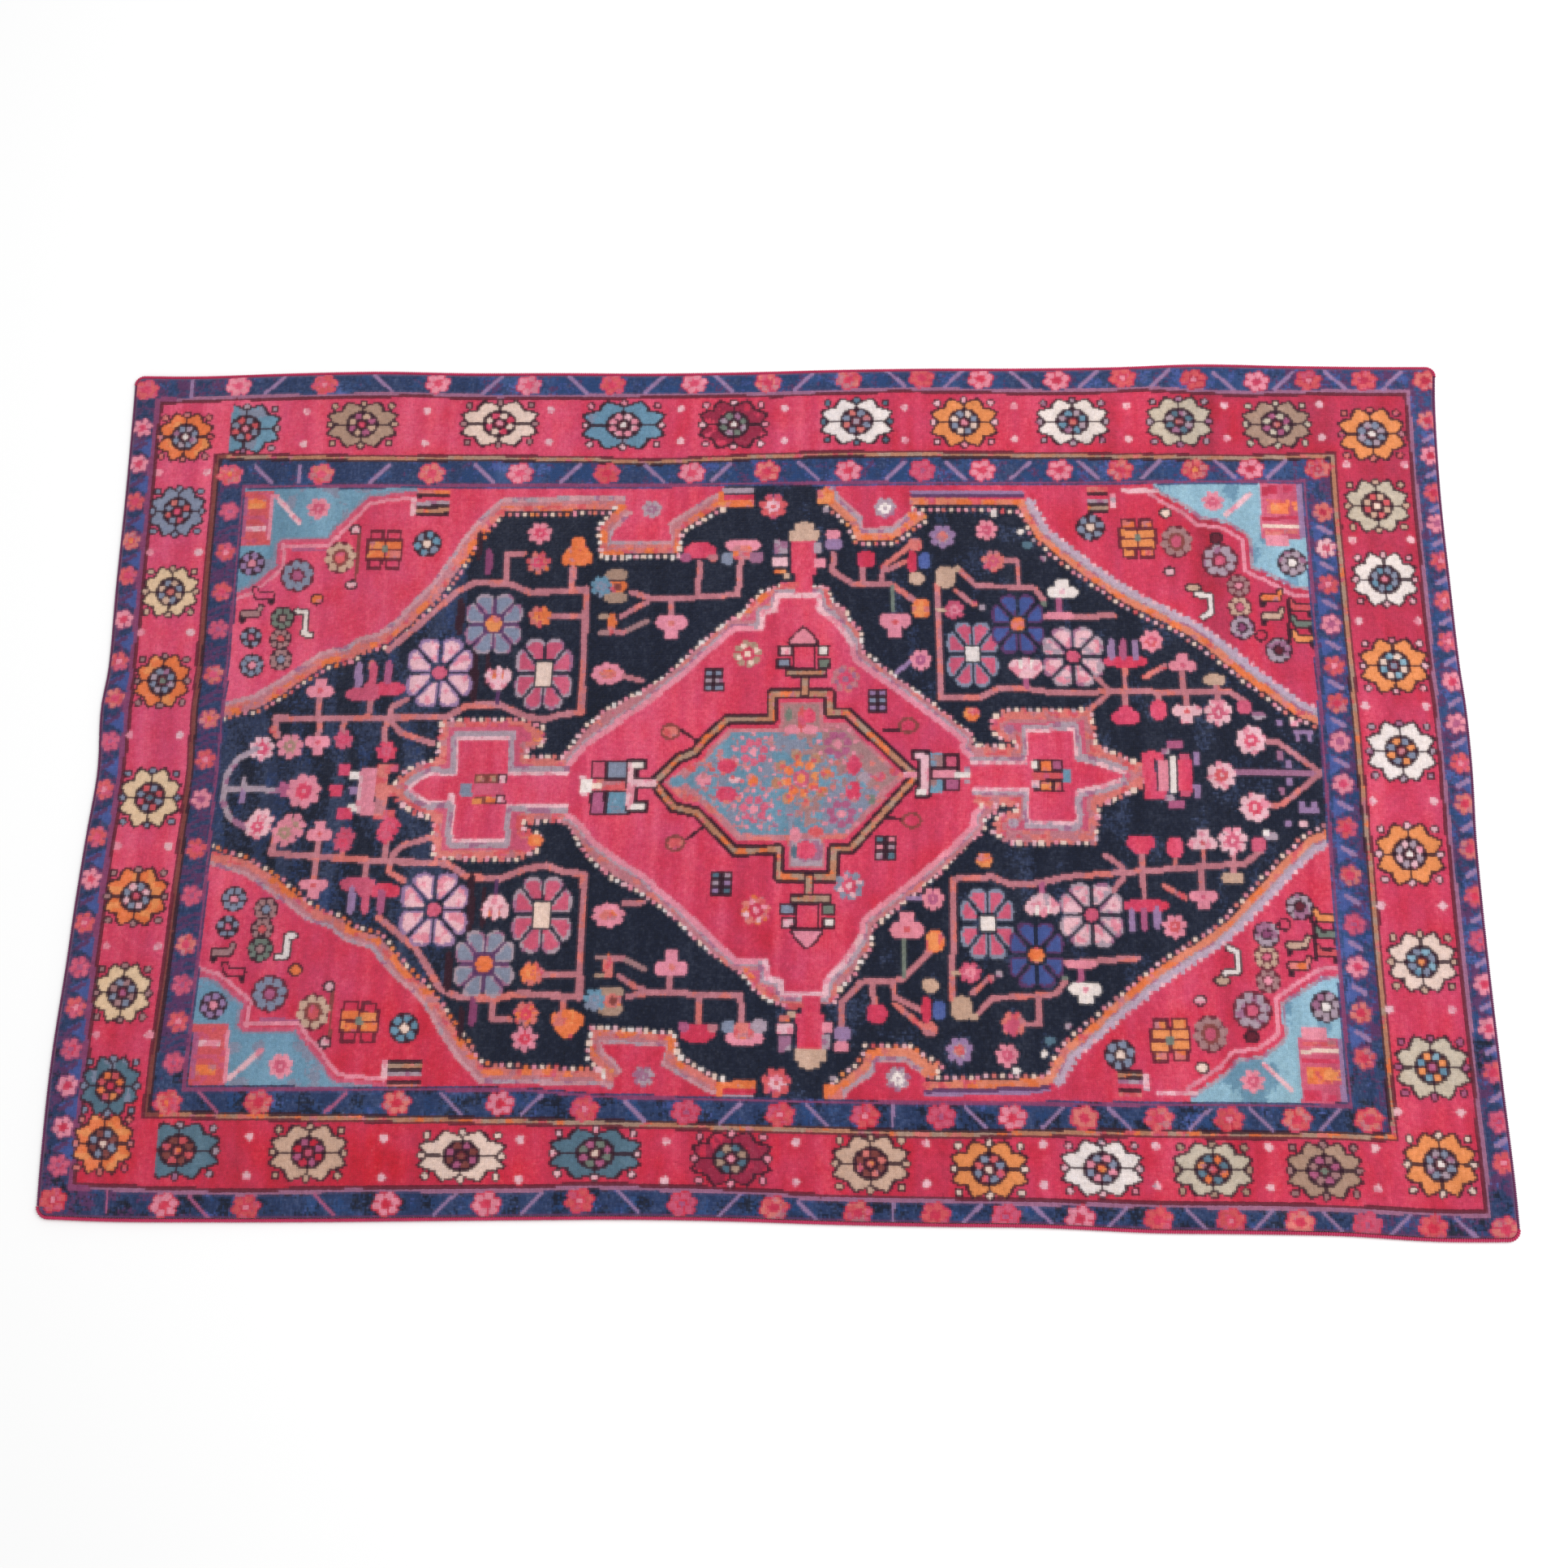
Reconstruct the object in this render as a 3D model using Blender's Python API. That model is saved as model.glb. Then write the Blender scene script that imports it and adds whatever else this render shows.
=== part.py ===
"""Hand-knotted wool village rug, lying flat: the knotted rug, its overcast sides and its bound ends.

Metres, +Z up. X runs along the length and Y across the width. The origin is at the middle of the
rug's outline, on the floor. All pieces rest on z = 0.
"""
import math

import bmesh
import bpy

PILE_HEIGHT = 0.009        # floor to the tips of the clipped pile
PILE_EDGE_HEIGHT = 0.0065  # height at which the pile starts to lean outward at its edge
PILE_EDGE_ROUND = 0.0025   # how far in the rounding of the pile's edge reaches
CORNER_RADIUS = 0.018      # the worn, rounded corners
SIDE_CORD_WIDTH = 0.006    # selvedge along each long side, overcast with crimson wool
SIDE_CORD_HEIGHT = 0.007
END_BIND_WIDTH = 0.005     # overcast edge of each short end, in dark purple wool
END_BIND_HEIGHT = 0.006
GAP = 0.0003               # between two pieces that touch
STATION = 0.02             # step along the outline
ARC_STEPS = 7
CORD_SIDES = 10

# The long sides wander a little: where the far and the near edge run.
LONG_SIDES = [
    # along, far, near
    (-1.07, 0.673, -0.671),
    (-0.95, 0.671, -0.674),
    (-0.80, 0.675, -0.673),
    (-0.65, 0.677, -0.671),
    (-0.50, 0.673, -0.668),
    (-0.35, 0.672, -0.665),
    (-0.20, 0.670, -0.6625),
    (-0.05, 0.671, -0.663),
    (0.10, 0.674, -0.666),
    (0.25, 0.675, -0.667),
    (0.40, 0.674, -0.667),
    (0.55, 0.675, -0.672),
    (0.68, 0.679, -0.672),
    (0.82, 0.675, -0.673),
    (0.95, 0.672, -0.679),
    (1.07, 0.671, -0.678),
]

# The short ends bow inward in the middle: where the left and the right edge run.
SHORT_ENDS = [
    # across, left, right
    (-0.69, -1.060, 1.066),
    (-0.60, -1.064, 1.066),
    (-0.45, -1.066, 1.0615),
    (-0.30, -1.060, 1.058),
    (-0.20, -1.057, 1.0565),
    (-0.10, -1.052, 1.0565),
    (0.00, -1.046, 1.060),
    (0.10, -1.052, 1.0595),
    (0.17, -1.047, 1.0555),
    (0.30, -1.050, 1.0527),
    (0.45, -1.0515, 1.0505),
    (0.60, -1.055, 1.0545),
    (0.69, -1.058, 1.062),
]

LEFT, RIGHT = 1, 2
FAR, NEAR = 1, 2


def edge_at(rows, column, at):
    """Place of one edge, on a smooth curve through its table rows."""
    i = max(k for k in range(len(rows) - 1) if rows[k][0] <= at or k == 0)
    start, end = rows[i], rows[i + 1]
    before = rows[max(i - 1, 0)]
    after = rows[min(i + 2, len(rows) - 1)]
    span = end[0] - start[0]
    t = (at - start[0]) / span
    slope_in = (end[column] - before[column]) / (end[0] - before[0]) * span
    slope_out = (after[column] - start[column]) / (after[0] - start[0]) * span
    return (
        (2 * t ** 3 - 3 * t ** 2 + 1) * start[column]
        + (t ** 3 - 2 * t ** 2 + t) * slope_in
        + (3 * t ** 2 - 2 * t ** 3) * end[column]
        + (t ** 3 - t ** 2) * slope_out
    )


def steps(start, end):
    """Evenly spaced values from start to end, both included."""
    count = max(2, round(abs(end - start) / STATION))
    return [start + (end - start) * k / count for k in range(count + 1)]


def corner(end_column, side_column, near_x):
    """Where a short end and a long side would meet if the corner were square."""
    y = edge_at(LONG_SIDES, side_column, near_x)
    return edge_at(SHORT_ENDS, end_column, y), y


def rounding(start, square, end):
    """Quarter turn from start to end inside the square corner, without its end points."""
    points = []
    for k in range(1, ARC_STEPS):
        angle = math.pi / 2 * k / ARC_STEPS
        from_start = 1 - math.sin(angle)
        from_end = 1 - math.cos(angle)
        points.append(tuple(
            square[c] + (start[c] - square[c]) * from_start + (end[c] - square[c]) * from_end
            for c in (0, 1)
        ))
    return points


def outline():
    """The rug's edge, counterclockwise, as four runs: near side, right end, far side, left end.

    Each long side's run includes the rounded corner at both of its ends, and each run starts on
    the point where the one before it stops.
    """
    near_left = corner(LEFT, NEAR, -1.06)
    near_right = corner(RIGHT, NEAR, 1.06)
    far_right = corner(RIGHT, FAR, 1.06)
    far_left = corner(LEFT, FAR, -1.06)
    r = CORNER_RADIUS
    near = [(x, edge_at(LONG_SIDES, NEAR, x)) for x in steps(near_left[0] + r, near_right[0] - r)]
    right = [(edge_at(SHORT_ENDS, RIGHT, y), y) for y in steps(near_right[1] + r, far_right[1] - r)]
    far = [(x, edge_at(LONG_SIDES, FAR, x)) for x in steps(far_right[0] - r, far_left[0] + r)]
    left = [(edge_at(SHORT_ENDS, LEFT, y), y) for y in steps(far_left[1] - r, near_left[1] + r)]
    near_run = (
        [left[-1]] + rounding(left[-1], near_left, near[0])
        + near + rounding(near[-1], near_right, right[0]) + [right[0]]
    )
    far_run = (
        [right[-1]] + rounding(right[-1], far_right, far[0])
        + far + rounding(far[-1], far_left, left[0]) + [left[0]]
    )
    runs = [near_run, right, far_run, left]
    xs = [p[0] for run in runs for p in run]
    ys = [p[1] for run in runs for p in run]
    middle = ((min(xs) + max(xs)) / 2, (min(ys) + max(ys)) / 2)
    return [[(x - middle[0], y - middle[1]) for x, y in run] for run in runs]


def inward_normals(loop):
    """Unit vectors pointing into a closed counterclockwise loop, one for each point."""
    normals = []
    for k, point in enumerate(loop):
        before, after = loop[k - 1], loop[(k + 1) % len(loop)]
        dx, dy = after[0] - before[0], after[1] - before[1]
        length = math.hypot(dx, dy)
        normals.append((-dy / length, dx / length))
    return normals


def material(name, colour, roughness):
    made = bpy.data.materials.new(name)
    made.use_nodes = True
    shader = made.node_tree.nodes["Principled BSDF"]
    shader.inputs["Base Color"].default_value = (*colour, 1)
    shader.inputs["Roughness"].default_value = roughness
    shader.inputs["Metallic"].default_value = 0
    made.diffuse_color = (*colour, 1)
    return made


def add_object(name, bm, made):
    bmesh.ops.recalc_face_normals(bm, faces=bm.faces)
    mesh = bpy.data.meshes.new(name)
    bm.to_mesh(mesh)
    bm.free()
    mesh.materials.append(made)
    added = bpy.data.objects.new(name, mesh)
    bpy.context.collection.objects.link(added)
    return added


def bridge(bm, first, second):
    """Quads between two closed rows of vertices."""
    for k in range(len(first)):
        n = (k + 1) % len(first)
        bm.faces.new((first[k], first[n], second[n], second[k]))


def knotted_rug(loop, normals):
    """One slab of pile on its foundation, with the pile's outer edge rounded over."""
    edge = SIDE_CORD_WIDTH + GAP
    profile = [
        (edge, 0.0),
        (edge, PILE_EDGE_HEIGHT),
        (edge + 0.3 * PILE_EDGE_ROUND, PILE_EDGE_HEIGHT + 0.7 * (PILE_HEIGHT - PILE_EDGE_HEIGHT)),
        (edge + PILE_EDGE_ROUND, PILE_HEIGHT),
    ]
    bm = bmesh.new()
    rings = [
        [bm.verts.new((p[0] + n[0] * inset, p[1] + n[1] * inset, z)) for p, n in zip(loop, normals)]
        for inset, z in profile
    ]
    for lower, upper in zip(rings, rings[1:]):
        bridge(bm, lower, upper)
    bm.faces.new(rings[0])
    bm.faces.new(rings[-1])
    return add_object("knotted_rug", bm, material("knotted_rug", (0.42, 0.09, 0.14), 0.92))


def edge_cord(name, run, normals, width, height, made):
    """A bound edge: a flattened round cord that follows its run of the outline."""
    lowest = math.cos(math.pi / CORD_SIDES)  # of a round section with a flat side down
    section = []
    for k in range(CORD_SIDES):
        angle = 2 * math.pi * (k + 0.5) / CORD_SIDES
        inset = SIDE_CORD_WIDTH - width / 2 + math.sin(angle) * width / 2
        section.append((inset, height / 2 * (1 - math.cos(angle) / lowest)))
    bm = bmesh.new()
    rings = [
        [bm.verts.new((p[0] + n[0] * inset, p[1] + n[1] * inset, z)) for inset, z in section]
        for p, n in zip(run, normals)
    ]
    for first, second in zip(rings, rings[1:]):
        bridge(bm, first, second)
    bm.faces.new(rings[0])
    bm.faces.new(rings[-1])
    added = add_object(name, bm, made)
    added.data.shade_smooth()
    added.data.set_sharp_from_angle(angle=math.radians(50))
    return added


def shortened(run, amount):
    """The same run with both ends drawn back, which opens the gaps to its neighbours."""
    def back(end, inner):
        length = math.hypot(end[0] - inner[0], end[1] - inner[1])
        t = amount / length
        return tuple(end[c] + (inner[c] - end[c]) * t for c in (0, 1))

    return [back(run[0], run[1])] + run[1:-1] + [back(run[-1], run[-2])]


def main():
    for old in list(bpy.data.objects):
        bpy.data.objects.remove(old, do_unlink=True)
    runs = outline()
    loop = [point for run in runs for point in run[:-1]]
    normals = inward_normals(loop)
    knotted_rug(loop, normals)
    crimson = (0.33, 0.03, 0.11)
    purple = (0.13, 0.05, 0.15)
    pieces = [
        ("selvedge_near", SIDE_CORD_WIDTH, SIDE_CORD_HEIGHT, crimson),
        ("end_binding_right", END_BIND_WIDTH, END_BIND_HEIGHT, purple),
        ("selvedge_far", SIDE_CORD_WIDTH, SIDE_CORD_HEIGHT, crimson),
        ("end_binding_left", END_BIND_WIDTH, END_BIND_HEIGHT, purple),
    ]
    first = 0
    for run, (name, width, height, colour) in zip(runs, pieces):
        along = [normals[(first + k) % len(loop)] for k in range(len(run))]
        edge_cord(name, shortened(run, GAP / 2), along, width, height, material(name, colour, 0.85))
        first += len(run) - 1


main()
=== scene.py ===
import math

import bpy
import numpy as np
from mathutils import Matrix, Vector


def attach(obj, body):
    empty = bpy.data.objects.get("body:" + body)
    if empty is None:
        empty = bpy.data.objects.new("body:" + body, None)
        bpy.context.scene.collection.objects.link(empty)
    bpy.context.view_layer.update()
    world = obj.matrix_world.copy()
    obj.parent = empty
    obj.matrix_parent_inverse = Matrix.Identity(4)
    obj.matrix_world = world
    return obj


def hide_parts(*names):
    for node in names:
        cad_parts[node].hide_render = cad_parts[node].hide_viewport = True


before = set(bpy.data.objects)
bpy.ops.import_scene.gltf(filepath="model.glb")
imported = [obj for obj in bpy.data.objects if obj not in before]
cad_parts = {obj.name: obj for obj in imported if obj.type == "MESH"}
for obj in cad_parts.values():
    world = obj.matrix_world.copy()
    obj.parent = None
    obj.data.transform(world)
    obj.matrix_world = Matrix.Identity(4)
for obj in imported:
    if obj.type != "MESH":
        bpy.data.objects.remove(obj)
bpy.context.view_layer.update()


# ---- Warps and wefts: where every knot sits -------------------------------------------------------
# The rug is woven on a simple loom, so its sides wander and its ends bow in. Each knot ties round a
# pair of warps that run along x, and a row of knots is one line across the rug, along y.

KNOT = 0.3                 # cm from one knot to the next
COLUMNS = 702              # knots along the length
ROWS = 445                 # knots across the width
SIDE_CORD = 0.006          # m, width of the bound edge round the pile
GAP = 0.0003               # m, between the pile and the bound edge
CORNER = 0.018             # m, radius of the worn corners
HALF_LENGTH = 1.06         # m, about where the corners stand
HALF_WIDTH = 0.67          # m

LONG_SIDES = np.array([
    # along, far, near
    (-1.07, 0.673, -0.671), (-0.95, 0.671, -0.674), (-0.80, 0.675, -0.673), (-0.65, 0.677, -0.671),
    (-0.50, 0.673, -0.668), (-0.35, 0.672, -0.665), (-0.20, 0.670, -0.6625), (-0.05, 0.671, -0.663),
    (0.10, 0.674, -0.666), (0.25, 0.675, -0.667), (0.40, 0.674, -0.667), (0.55, 0.675, -0.672),
    (0.68, 0.679, -0.672), (0.82, 0.675, -0.673), (0.95, 0.672, -0.679), (1.07, 0.671, -0.678),
])
SHORT_ENDS = np.array([
    # across, left, right
    (-0.69, -1.060, 1.066), (-0.60, -1.064, 1.066), (-0.45, -1.066, 1.0615), (-0.30, -1.060, 1.058),
    (-0.20, -1.057, 1.0565), (-0.10, -1.052, 1.0565), (0.00, -1.046, 1.060), (0.10, -1.052, 1.0595),
    (0.17, -1.047, 1.0555), (0.30, -1.050, 1.0527), (0.45, -1.0515, 1.0505), (0.60, -1.055, 1.0545),
    (0.69, -1.058, 1.062),
])
LEFT = FAR = 1
RIGHT = NEAR = 2


def edge_at(rows, column, at):
    """Place of one edge, on a smooth curve through its table rows."""
    at = np.asarray(at, dtype=float)
    i = np.clip(np.searchsorted(rows[:, 0], at, side="right") - 1, 0, len(rows) - 2)
    before = np.maximum(i - 1, 0)
    after = np.minimum(i + 2, len(rows) - 1)
    span = rows[i + 1, 0] - rows[i, 0]
    t = (at - rows[i, 0]) / span
    start = rows[i, column]
    end = rows[i + 1, column]
    slope_in = (end - rows[before, column]) / (rows[i + 1, 0] - rows[before, 0]) * span
    slope_out = (rows[after, column] - start) / (rows[after, 0] - rows[i, 0]) * span
    return (
        (2 * t ** 3 - 3 * t ** 2 + 1) * start
        + (t ** 3 - 2 * t ** 2 + t) * slope_in
        + (3 * t ** 2 - 2 * t ** 3) * end
        + (t ** 3 - t ** 2) * slope_out
    )


def centre_of_outline():
    """The part's origin is the middle of the box round its outline."""
    along = np.linspace(-HALF_LENGTH, HALF_LENGTH, 400)
    across = np.linspace(-HALF_WIDTH, HALF_WIDTH, 400)
    x_mid = (edge_at(SHORT_ENDS, LEFT, across).min() + edge_at(SHORT_ENDS, RIGHT, across).max()) / 2
    y_mid = (edge_at(LONG_SIDES, FAR, along).max() + edge_at(LONG_SIDES, NEAR, along).min()) / 2
    return x_mid, y_mid


ORIGIN = centre_of_outline()


def on_rug(s, t, inset):
    """Metres. s and t run from 0 to 1 along and across the rug, inset from its outer edge."""
    x = -HALF_LENGTH + 2 * HALF_LENGTH * s
    y = -HALF_WIDTH + 2 * HALF_WIDTH * t
    for _ in range(4):         # the edges wander, so each place is found in a few rounds
        near = edge_at(LONG_SIDES, NEAR, x) + inset
        far = edge_at(LONG_SIDES, FAR, x) - inset
        left = edge_at(SHORT_ENDS, LEFT, y) + inset
        right = edge_at(SHORT_ENDS, RIGHT, y) - inset
        x = left + (right - left) * s
        y = near + (far - near) * t
    round_off = CORNER - inset
    into_x = np.maximum(left + round_off - x, x - right + round_off)
    into_y = np.maximum(near + round_off - y, y - far + round_off)
    corner = (into_x > 0) & (into_y > 0)
    into_x = np.where(corner, into_x, 1.0)
    into_y = np.where(corner, into_y, 1.0)
    keep = np.maximum(into_x, into_y) / np.hypot(into_x, into_y)
    pull_x = np.where(corner, into_x * (1 - keep), 0.0)
    pull_y = np.where(corner, into_y * (1 - keep), 0.0)
    x = x - np.sign(s - 0.5) * pull_x
    y = y - np.sign(t - 0.5) * pull_y
    return x - ORIGIN[0], y - ORIGIN[1]


columns, rows = np.meshgrid((np.arange(COLUMNS) + 0.5) / COLUMNS, (np.arange(ROWS) + 0.5) / ROWS)
knot_x, knot_y = 100 * np.array(on_rug(columns, rows, SIDE_CORD + GAP))    # cm


# ---- Wools, and how figures are tied with them ----------------------------------------------------
# Hand-spun wool in some forty dyed shades, each named below with its colour in daylight. All
# figures are laid out in centimetres on the rug, and every edge falls on a whole knot.

WOOLS = {
    "crimson": (217, 59, 93), "navy": (19, 28, 49), "field blue": (44, 56, 86),
    "deep blue": (40, 60, 102), "guard blue": (40, 71, 121), "sky": (110, 151, 177),
    "light sky": (148, 187, 207), "royal": (70, 89, 154), "teal": (89, 119, 138),
    "slate": (134, 141, 164), "grey green": (117, 126, 116), "lilac": (158, 124, 166),
    "grey lilac": (178, 155, 169), "pale lilac": (194, 168, 188), "purple": (92, 52, 98),
    "plum": (140, 65, 108), "mauve": (179, 90, 130), "orchid": (165, 108, 140), "orange": (238, 120, 66),
    "amber": (240, 146, 86), "peach": (228, 132, 104), "salmon": (222, 119, 113), "coral": (218, 87, 94),
    "wine": (156, 36, 68), "rose": (210, 87, 118), "pink": (234, 141, 161), "pale pink": (241, 187, 197),
    "dusty pink": (206, 148, 158), "stem pink": (196, 121, 132), "cream": (243, 211, 197),
    "straw": (236, 200, 164), "white": (244, 229, 225), "sand": (204, 188, 170), "beige": (208, 169, 148),
    "khaki": (178, 143, 125), "gold": (190, 130, 102), "taupe": (170, 125, 127), "brown": (134, 66, 62),
    "maroon": (102, 28, 47), "dark": (52, 21, 38),
}
WOOL_NAMES = list(WOOLS)
tied = np.zeros((ROWS, COLUMNS), dtype=np.int16)


LEFT_KNOT = -105.3         # cm, where the first knot of a row lies
NEAR_KNOT = -66.8          # cm, where the first row lies
SPARE = 12                 # knots looked at beyond a figure, since rows and columns wander


def patch(x0, x1, y0, y1):
    """The part of the knot grid round a figure, and where its knots lie."""
    i0 = max(0, int((x0 - LEFT_KNOT) / KNOT) - SPARE)
    i1 = min(COLUMNS, int((x1 - LEFT_KNOT) / KNOT) + SPARE)
    j0 = max(0, int((y0 - NEAR_KNOT) / KNOT) - SPARE)
    j1 = min(ROWS, int((y1 - NEAR_KNOT) / KNOT) + SPARE)
    part = (slice(j0, j1), slice(i0, i1))
    return part, knot_x[part], knot_y[part]


def tie(part, where, wool):
    tied[part][where] = WOOL_NAMES.index(wool)


def tied_with(*wools):
    """Which knots of the whole rug are tied with any of these wools."""
    return np.isin(tied, [WOOL_NAMES.index(wool) for wool in wools])


BLOCK = 0.6                # cm, the steps of a slanting edge that turns two knots at a time


def stepped(value, step):
    """Places rounded to blocks of knots, which gives slanting edges their steps."""
    return value if not step else (np.floor(value / step) + 0.5) * step


def oval(x, y, rx, ry, wool):
    part, kx, ky = patch(x - rx, x + rx, y - ry, y + ry)
    tie(part, ((kx - x) / rx) ** 2 + ((ky - y) / ry) ** 2 <= 1, wool)


def block(x, y, w, h, wool):
    part, kx, ky = patch(x - w, x + w, y - h, y + h)
    tie(part, (np.abs(kx - x) <= w / 2) & (np.abs(ky - y) <= h / 2), wool)


def blob(x, y, w, h, wool):
    """A block with its corners rounded off."""
    part, kx, ky = patch(x - w, x + w, y - h, y + h)
    tie(part, np.abs((kx - x) * 2 / w) ** 3 + np.abs((ky - y) * 2 / h) ** 3 <= 1.1, wool)


def area(points, wool, step=0):
    """Fills a closed shape."""
    px = [p[0] for p in points]
    py = [p[1] for p in points]
    part, kx, ky = patch(min(px), max(px), min(py), max(py))
    kx, ky = stepped(kx, step), stepped(ky, step)
    inside = np.zeros(kx.shape, dtype=bool)
    for k in range(len(points)):
        x0, y0 = points[k - 1]
        x1, y1 = points[k]
        if y0 == y1:
            continue
        crosses = (y0 > ky) != (y1 > ky)
        inside ^= crosses & (kx < x0 + (ky - y0) / (y1 - y0) * (x1 - x0))
    tie(part, inside, wool)


def line(points, width, wool, step=0):
    """Ties a line of knots of one width along a path."""
    for (x0, y0), (x1, y1) in zip(points, points[1:]):
        part, kx, ky = patch(min(x0, x1) - width, max(x0, x1) + width,
                             min(y0, y1) - width, max(y0, y1) + width)
        kx, ky = stepped(kx, step), stepped(ky, step)
        dx, dy = x1 - x0, y1 - y0
        t = np.clip(((kx - x0) * dx + (ky - y0) * dy) / (dx * dx + dy * dy + 1e-9), 0, 1)
        tie(part, np.hypot(kx - x0 - t * dx, ky - y0 - t * dy) <= width / 2, wool)


def beads(points, pitch, size, wools):
    """Single blocks at an even pitch along a path, such as the teeth along a band."""
    travelled = pitch / 2
    count = 0
    for (x0, y0), (x1, y1) in zip(points, points[1:]):
        length = math.hypot(x1 - x0, y1 - y0)
        while travelled < length:
            t = travelled / length
            block(x0 + (x1 - x0) * t, y0 + (y1 - y0) * t, size, size, wools[count % len(wools)])
            travelled += pitch
            count += 1
        travelled -= length


def beside(points, distance):
    """The same path moved to its left by a distance, or to its right if that is negative."""
    moved = []
    for k, (x, y) in enumerate(points):
        x0, y0 = points[max(k - 1, 0)]
        x1, y1 = points[min(k + 1, len(points) - 1)]
        length = math.hypot(x1 - x0, y1 - y0)
        moved.append((x - (y1 - y0) / length * distance, y + (x1 - x0) / length * distance))
    return moved


# ---- Navy field and its four crimson corners ------------------------------------------------------
# The field is navy wool. A crimson corner with a toothed orange band and a lilac line closes it on
# each side, and the near half repeats the far half from memory, a little out of true.

# How the near half repeats the far half: the middle line between a figure and its repeat.
MIDDLE_X = (-85, -70, -50, -33, -12, 5, 30, 45, 65, 84)
MIDDLE_Y = (10, 18, 26, 36, 46)
MIDDLE = (
    # one row for each of MIDDLE_X, one column for each of MIDDLE_Y
    (-1.8, -1.2, -1.2, -1, -0.6), (-2.7, -2.3, -1.5, -0.9, -0.7), (-2.9, -2.9, -2.8, -1, -0.8),
    (-3.3, -3.4, -2.9, -1.7, -0.9), (-3.2, -3.2, -3, -2.4, -1.3), (-3, -3, -2.9, -2.3, -1.4),
    (-2.3, -2.3, -2.2, -2, -1), (-1.6, -1.8, -2.1, -1.8, -0.9), (-0.6, -1.1, -1, -0.9, -1),
    (-0.3, -0.3, -0.5, -0.8, -1.1),
)
SHIFT_X = (-85, -75, 60, 84)
SHIFT = (0.2, 1.4, 1.5, 0.3)
FAR_HALF, NEAR_HALF = 1, -1
BOTH = (FAR_HALF, NEAR_HALF)


def at(half, x, y):
    """Where a figure of the far half goes, or its repeat in the near half."""
    if half == FAR_HALF:
        return x, y
    middle = float(np.interp(x, MIDDLE_X, [np.interp(y, MIDDLE_Y, row) for row in MIDDLE]))
    return x + float(np.interp(x, SHIFT_X, SHIFT)), 2 * middle - y


def path(half, points):
    return [at(half, x, y) for x, y in points]


def bands(half, points, rows_of_wool):
    """Lines of wool side by side along a path: how far to its left, how wide, which wool."""
    for out, width, wool in rows_of_wool:
        line(path(half, beside(points, out)), width, wool, KNOT)


def blocks(half, groups):
    """Blocks of the far half, or their repeats: a wool, then x, y, width and height of each."""
    for wool, *places in groups:
        for x, y, w, h in places:
            block(*at(half, x, y), w, h, wool)


LEFT_EDGE = [
    (-86, 9), (-80, 10.5), (-76, 13), (-70, 17.3), (-66, 18.5), (-64, 20), (-60, 21), (-58, 23),
    (-55, 26.5), (-52.5, 29), (-50, 33), (-48, 37), (-45, 41), (-43, 43.2), (-24, 43.2),
]
LEFT_LOBE = [
    (-24, 43.2), (-25.5, 41.3), (-26.7, 40), (-26.7, 35.8), (-15.2, 35.8), (-15.2, 39.5), (-9, 43.6),
    (-8, 43.9),
]
RIGHT_LOBE = [(8.4, 46), (9.2, 44), (12.8, 40.6), (13.6, 38), (19, 38), (23.6, 41.5), (22, 42)]
RIGHT_EDGE = [
    (22, 43.9), (39.5, 43.7), (42, 38.5), (45, 35.7), (50, 31.5), (55, 27.8), (60, 25), (64, 23),
    (68, 20), (72, 16.5), (76, 13), (80, 9.7), (84.5, 7.8),
]
OUTWARD = 49               # cm, past the field's far edge, where the guards will cover it
tied[:] = WOOL_NAMES.index("navy")
for half in BOTH:
    area(path(half, [(-86, OUTWARD)] + LEFT_EDGE + LEFT_LOBE[1:] + [(-8, OUTWARD)]), "crimson", BLOCK)
    area(path(half, [(7.5, OUTWARD)] + RIGHT_LOBE + RIGHT_EDGE + [(86, OUTWARD)]), "crimson", BLOCK)
    bands(half, LEFT_EDGE, [(1.6, 0.8, "dusty pink"), (0.9, 0.7, "stem pink"), (0.1, 1, "salmon")])
    bands(half, LEFT_LOBE, [(1.5, 0.7, "dusty pink"), (0.8, 0.7, "stem pink"), (0, 1, "salmon")])
    bands(half, RIGHT_LOBE, [(1.6, 0.5, "dusty pink"), (1.1, 0.6, "grey lilac"), (0.2, 1.2, "peach")])
    bands(half, RIGHT_EDGE[:2], [(1.8, 0.6, "lilac"), (1.2, 0.7, "purple"), (0.2, 1.1, "peach")])
    out = -0.4 if half == FAR_HALF else 0
    bands(half, RIGHT_EDGE[1:], [(1.6 + out, 0.9, "pale lilac"), (0.9 + out, 0.5, "grey lilac"),
                                 (0.2 + out, 1.1, "peach")])
    for points, out_of_line, pitch, size, wools in (
        (RIGHT_EDGE[1:], 2.1 + out, 1.1, 0.6, ("pale lilac", "pale pink")),
        (LEFT_EDGE, -0.9, 1.15, 0.6, ("cream", "orange", "salmon", "pink")),
        (LEFT_LOBE, -1, 1.15, 0.7, ("white", "pale pink", "cream")),
        (RIGHT_LOBE, -1, 1.1, 0.6, ("orange", "pale pink", "cream")),
        (RIGHT_EDGE, -0.9 + out, 1.15, 0.6, ("salmon", "cream", "pink", "pale pink")),
    ):
        beads(path(half, beside(points, out_of_line)), pitch, size, wools)
    blocks(half, (
        ("grey lilac", (-5.5, 46.1, 5, 0.9), (8.5, 42.7, 0.8, 0.8)), ("crimson", (-5.5, 45, 5, 1)),
        ("orange", (-5.5, 43.9, 5, 1), (-8.2, 44.8, 0.9, 2.4), (8.4, 45, 2.6, 2.2)),
    ))


# ---- Medallion ------------------------------------------------------------------------------------
# A crimson medallion with stepped sides lies across the field. It is edged in pink and lilac, with
# light teeth on the navy, and holds a blue centre, small boxes and four little flowers.

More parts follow.
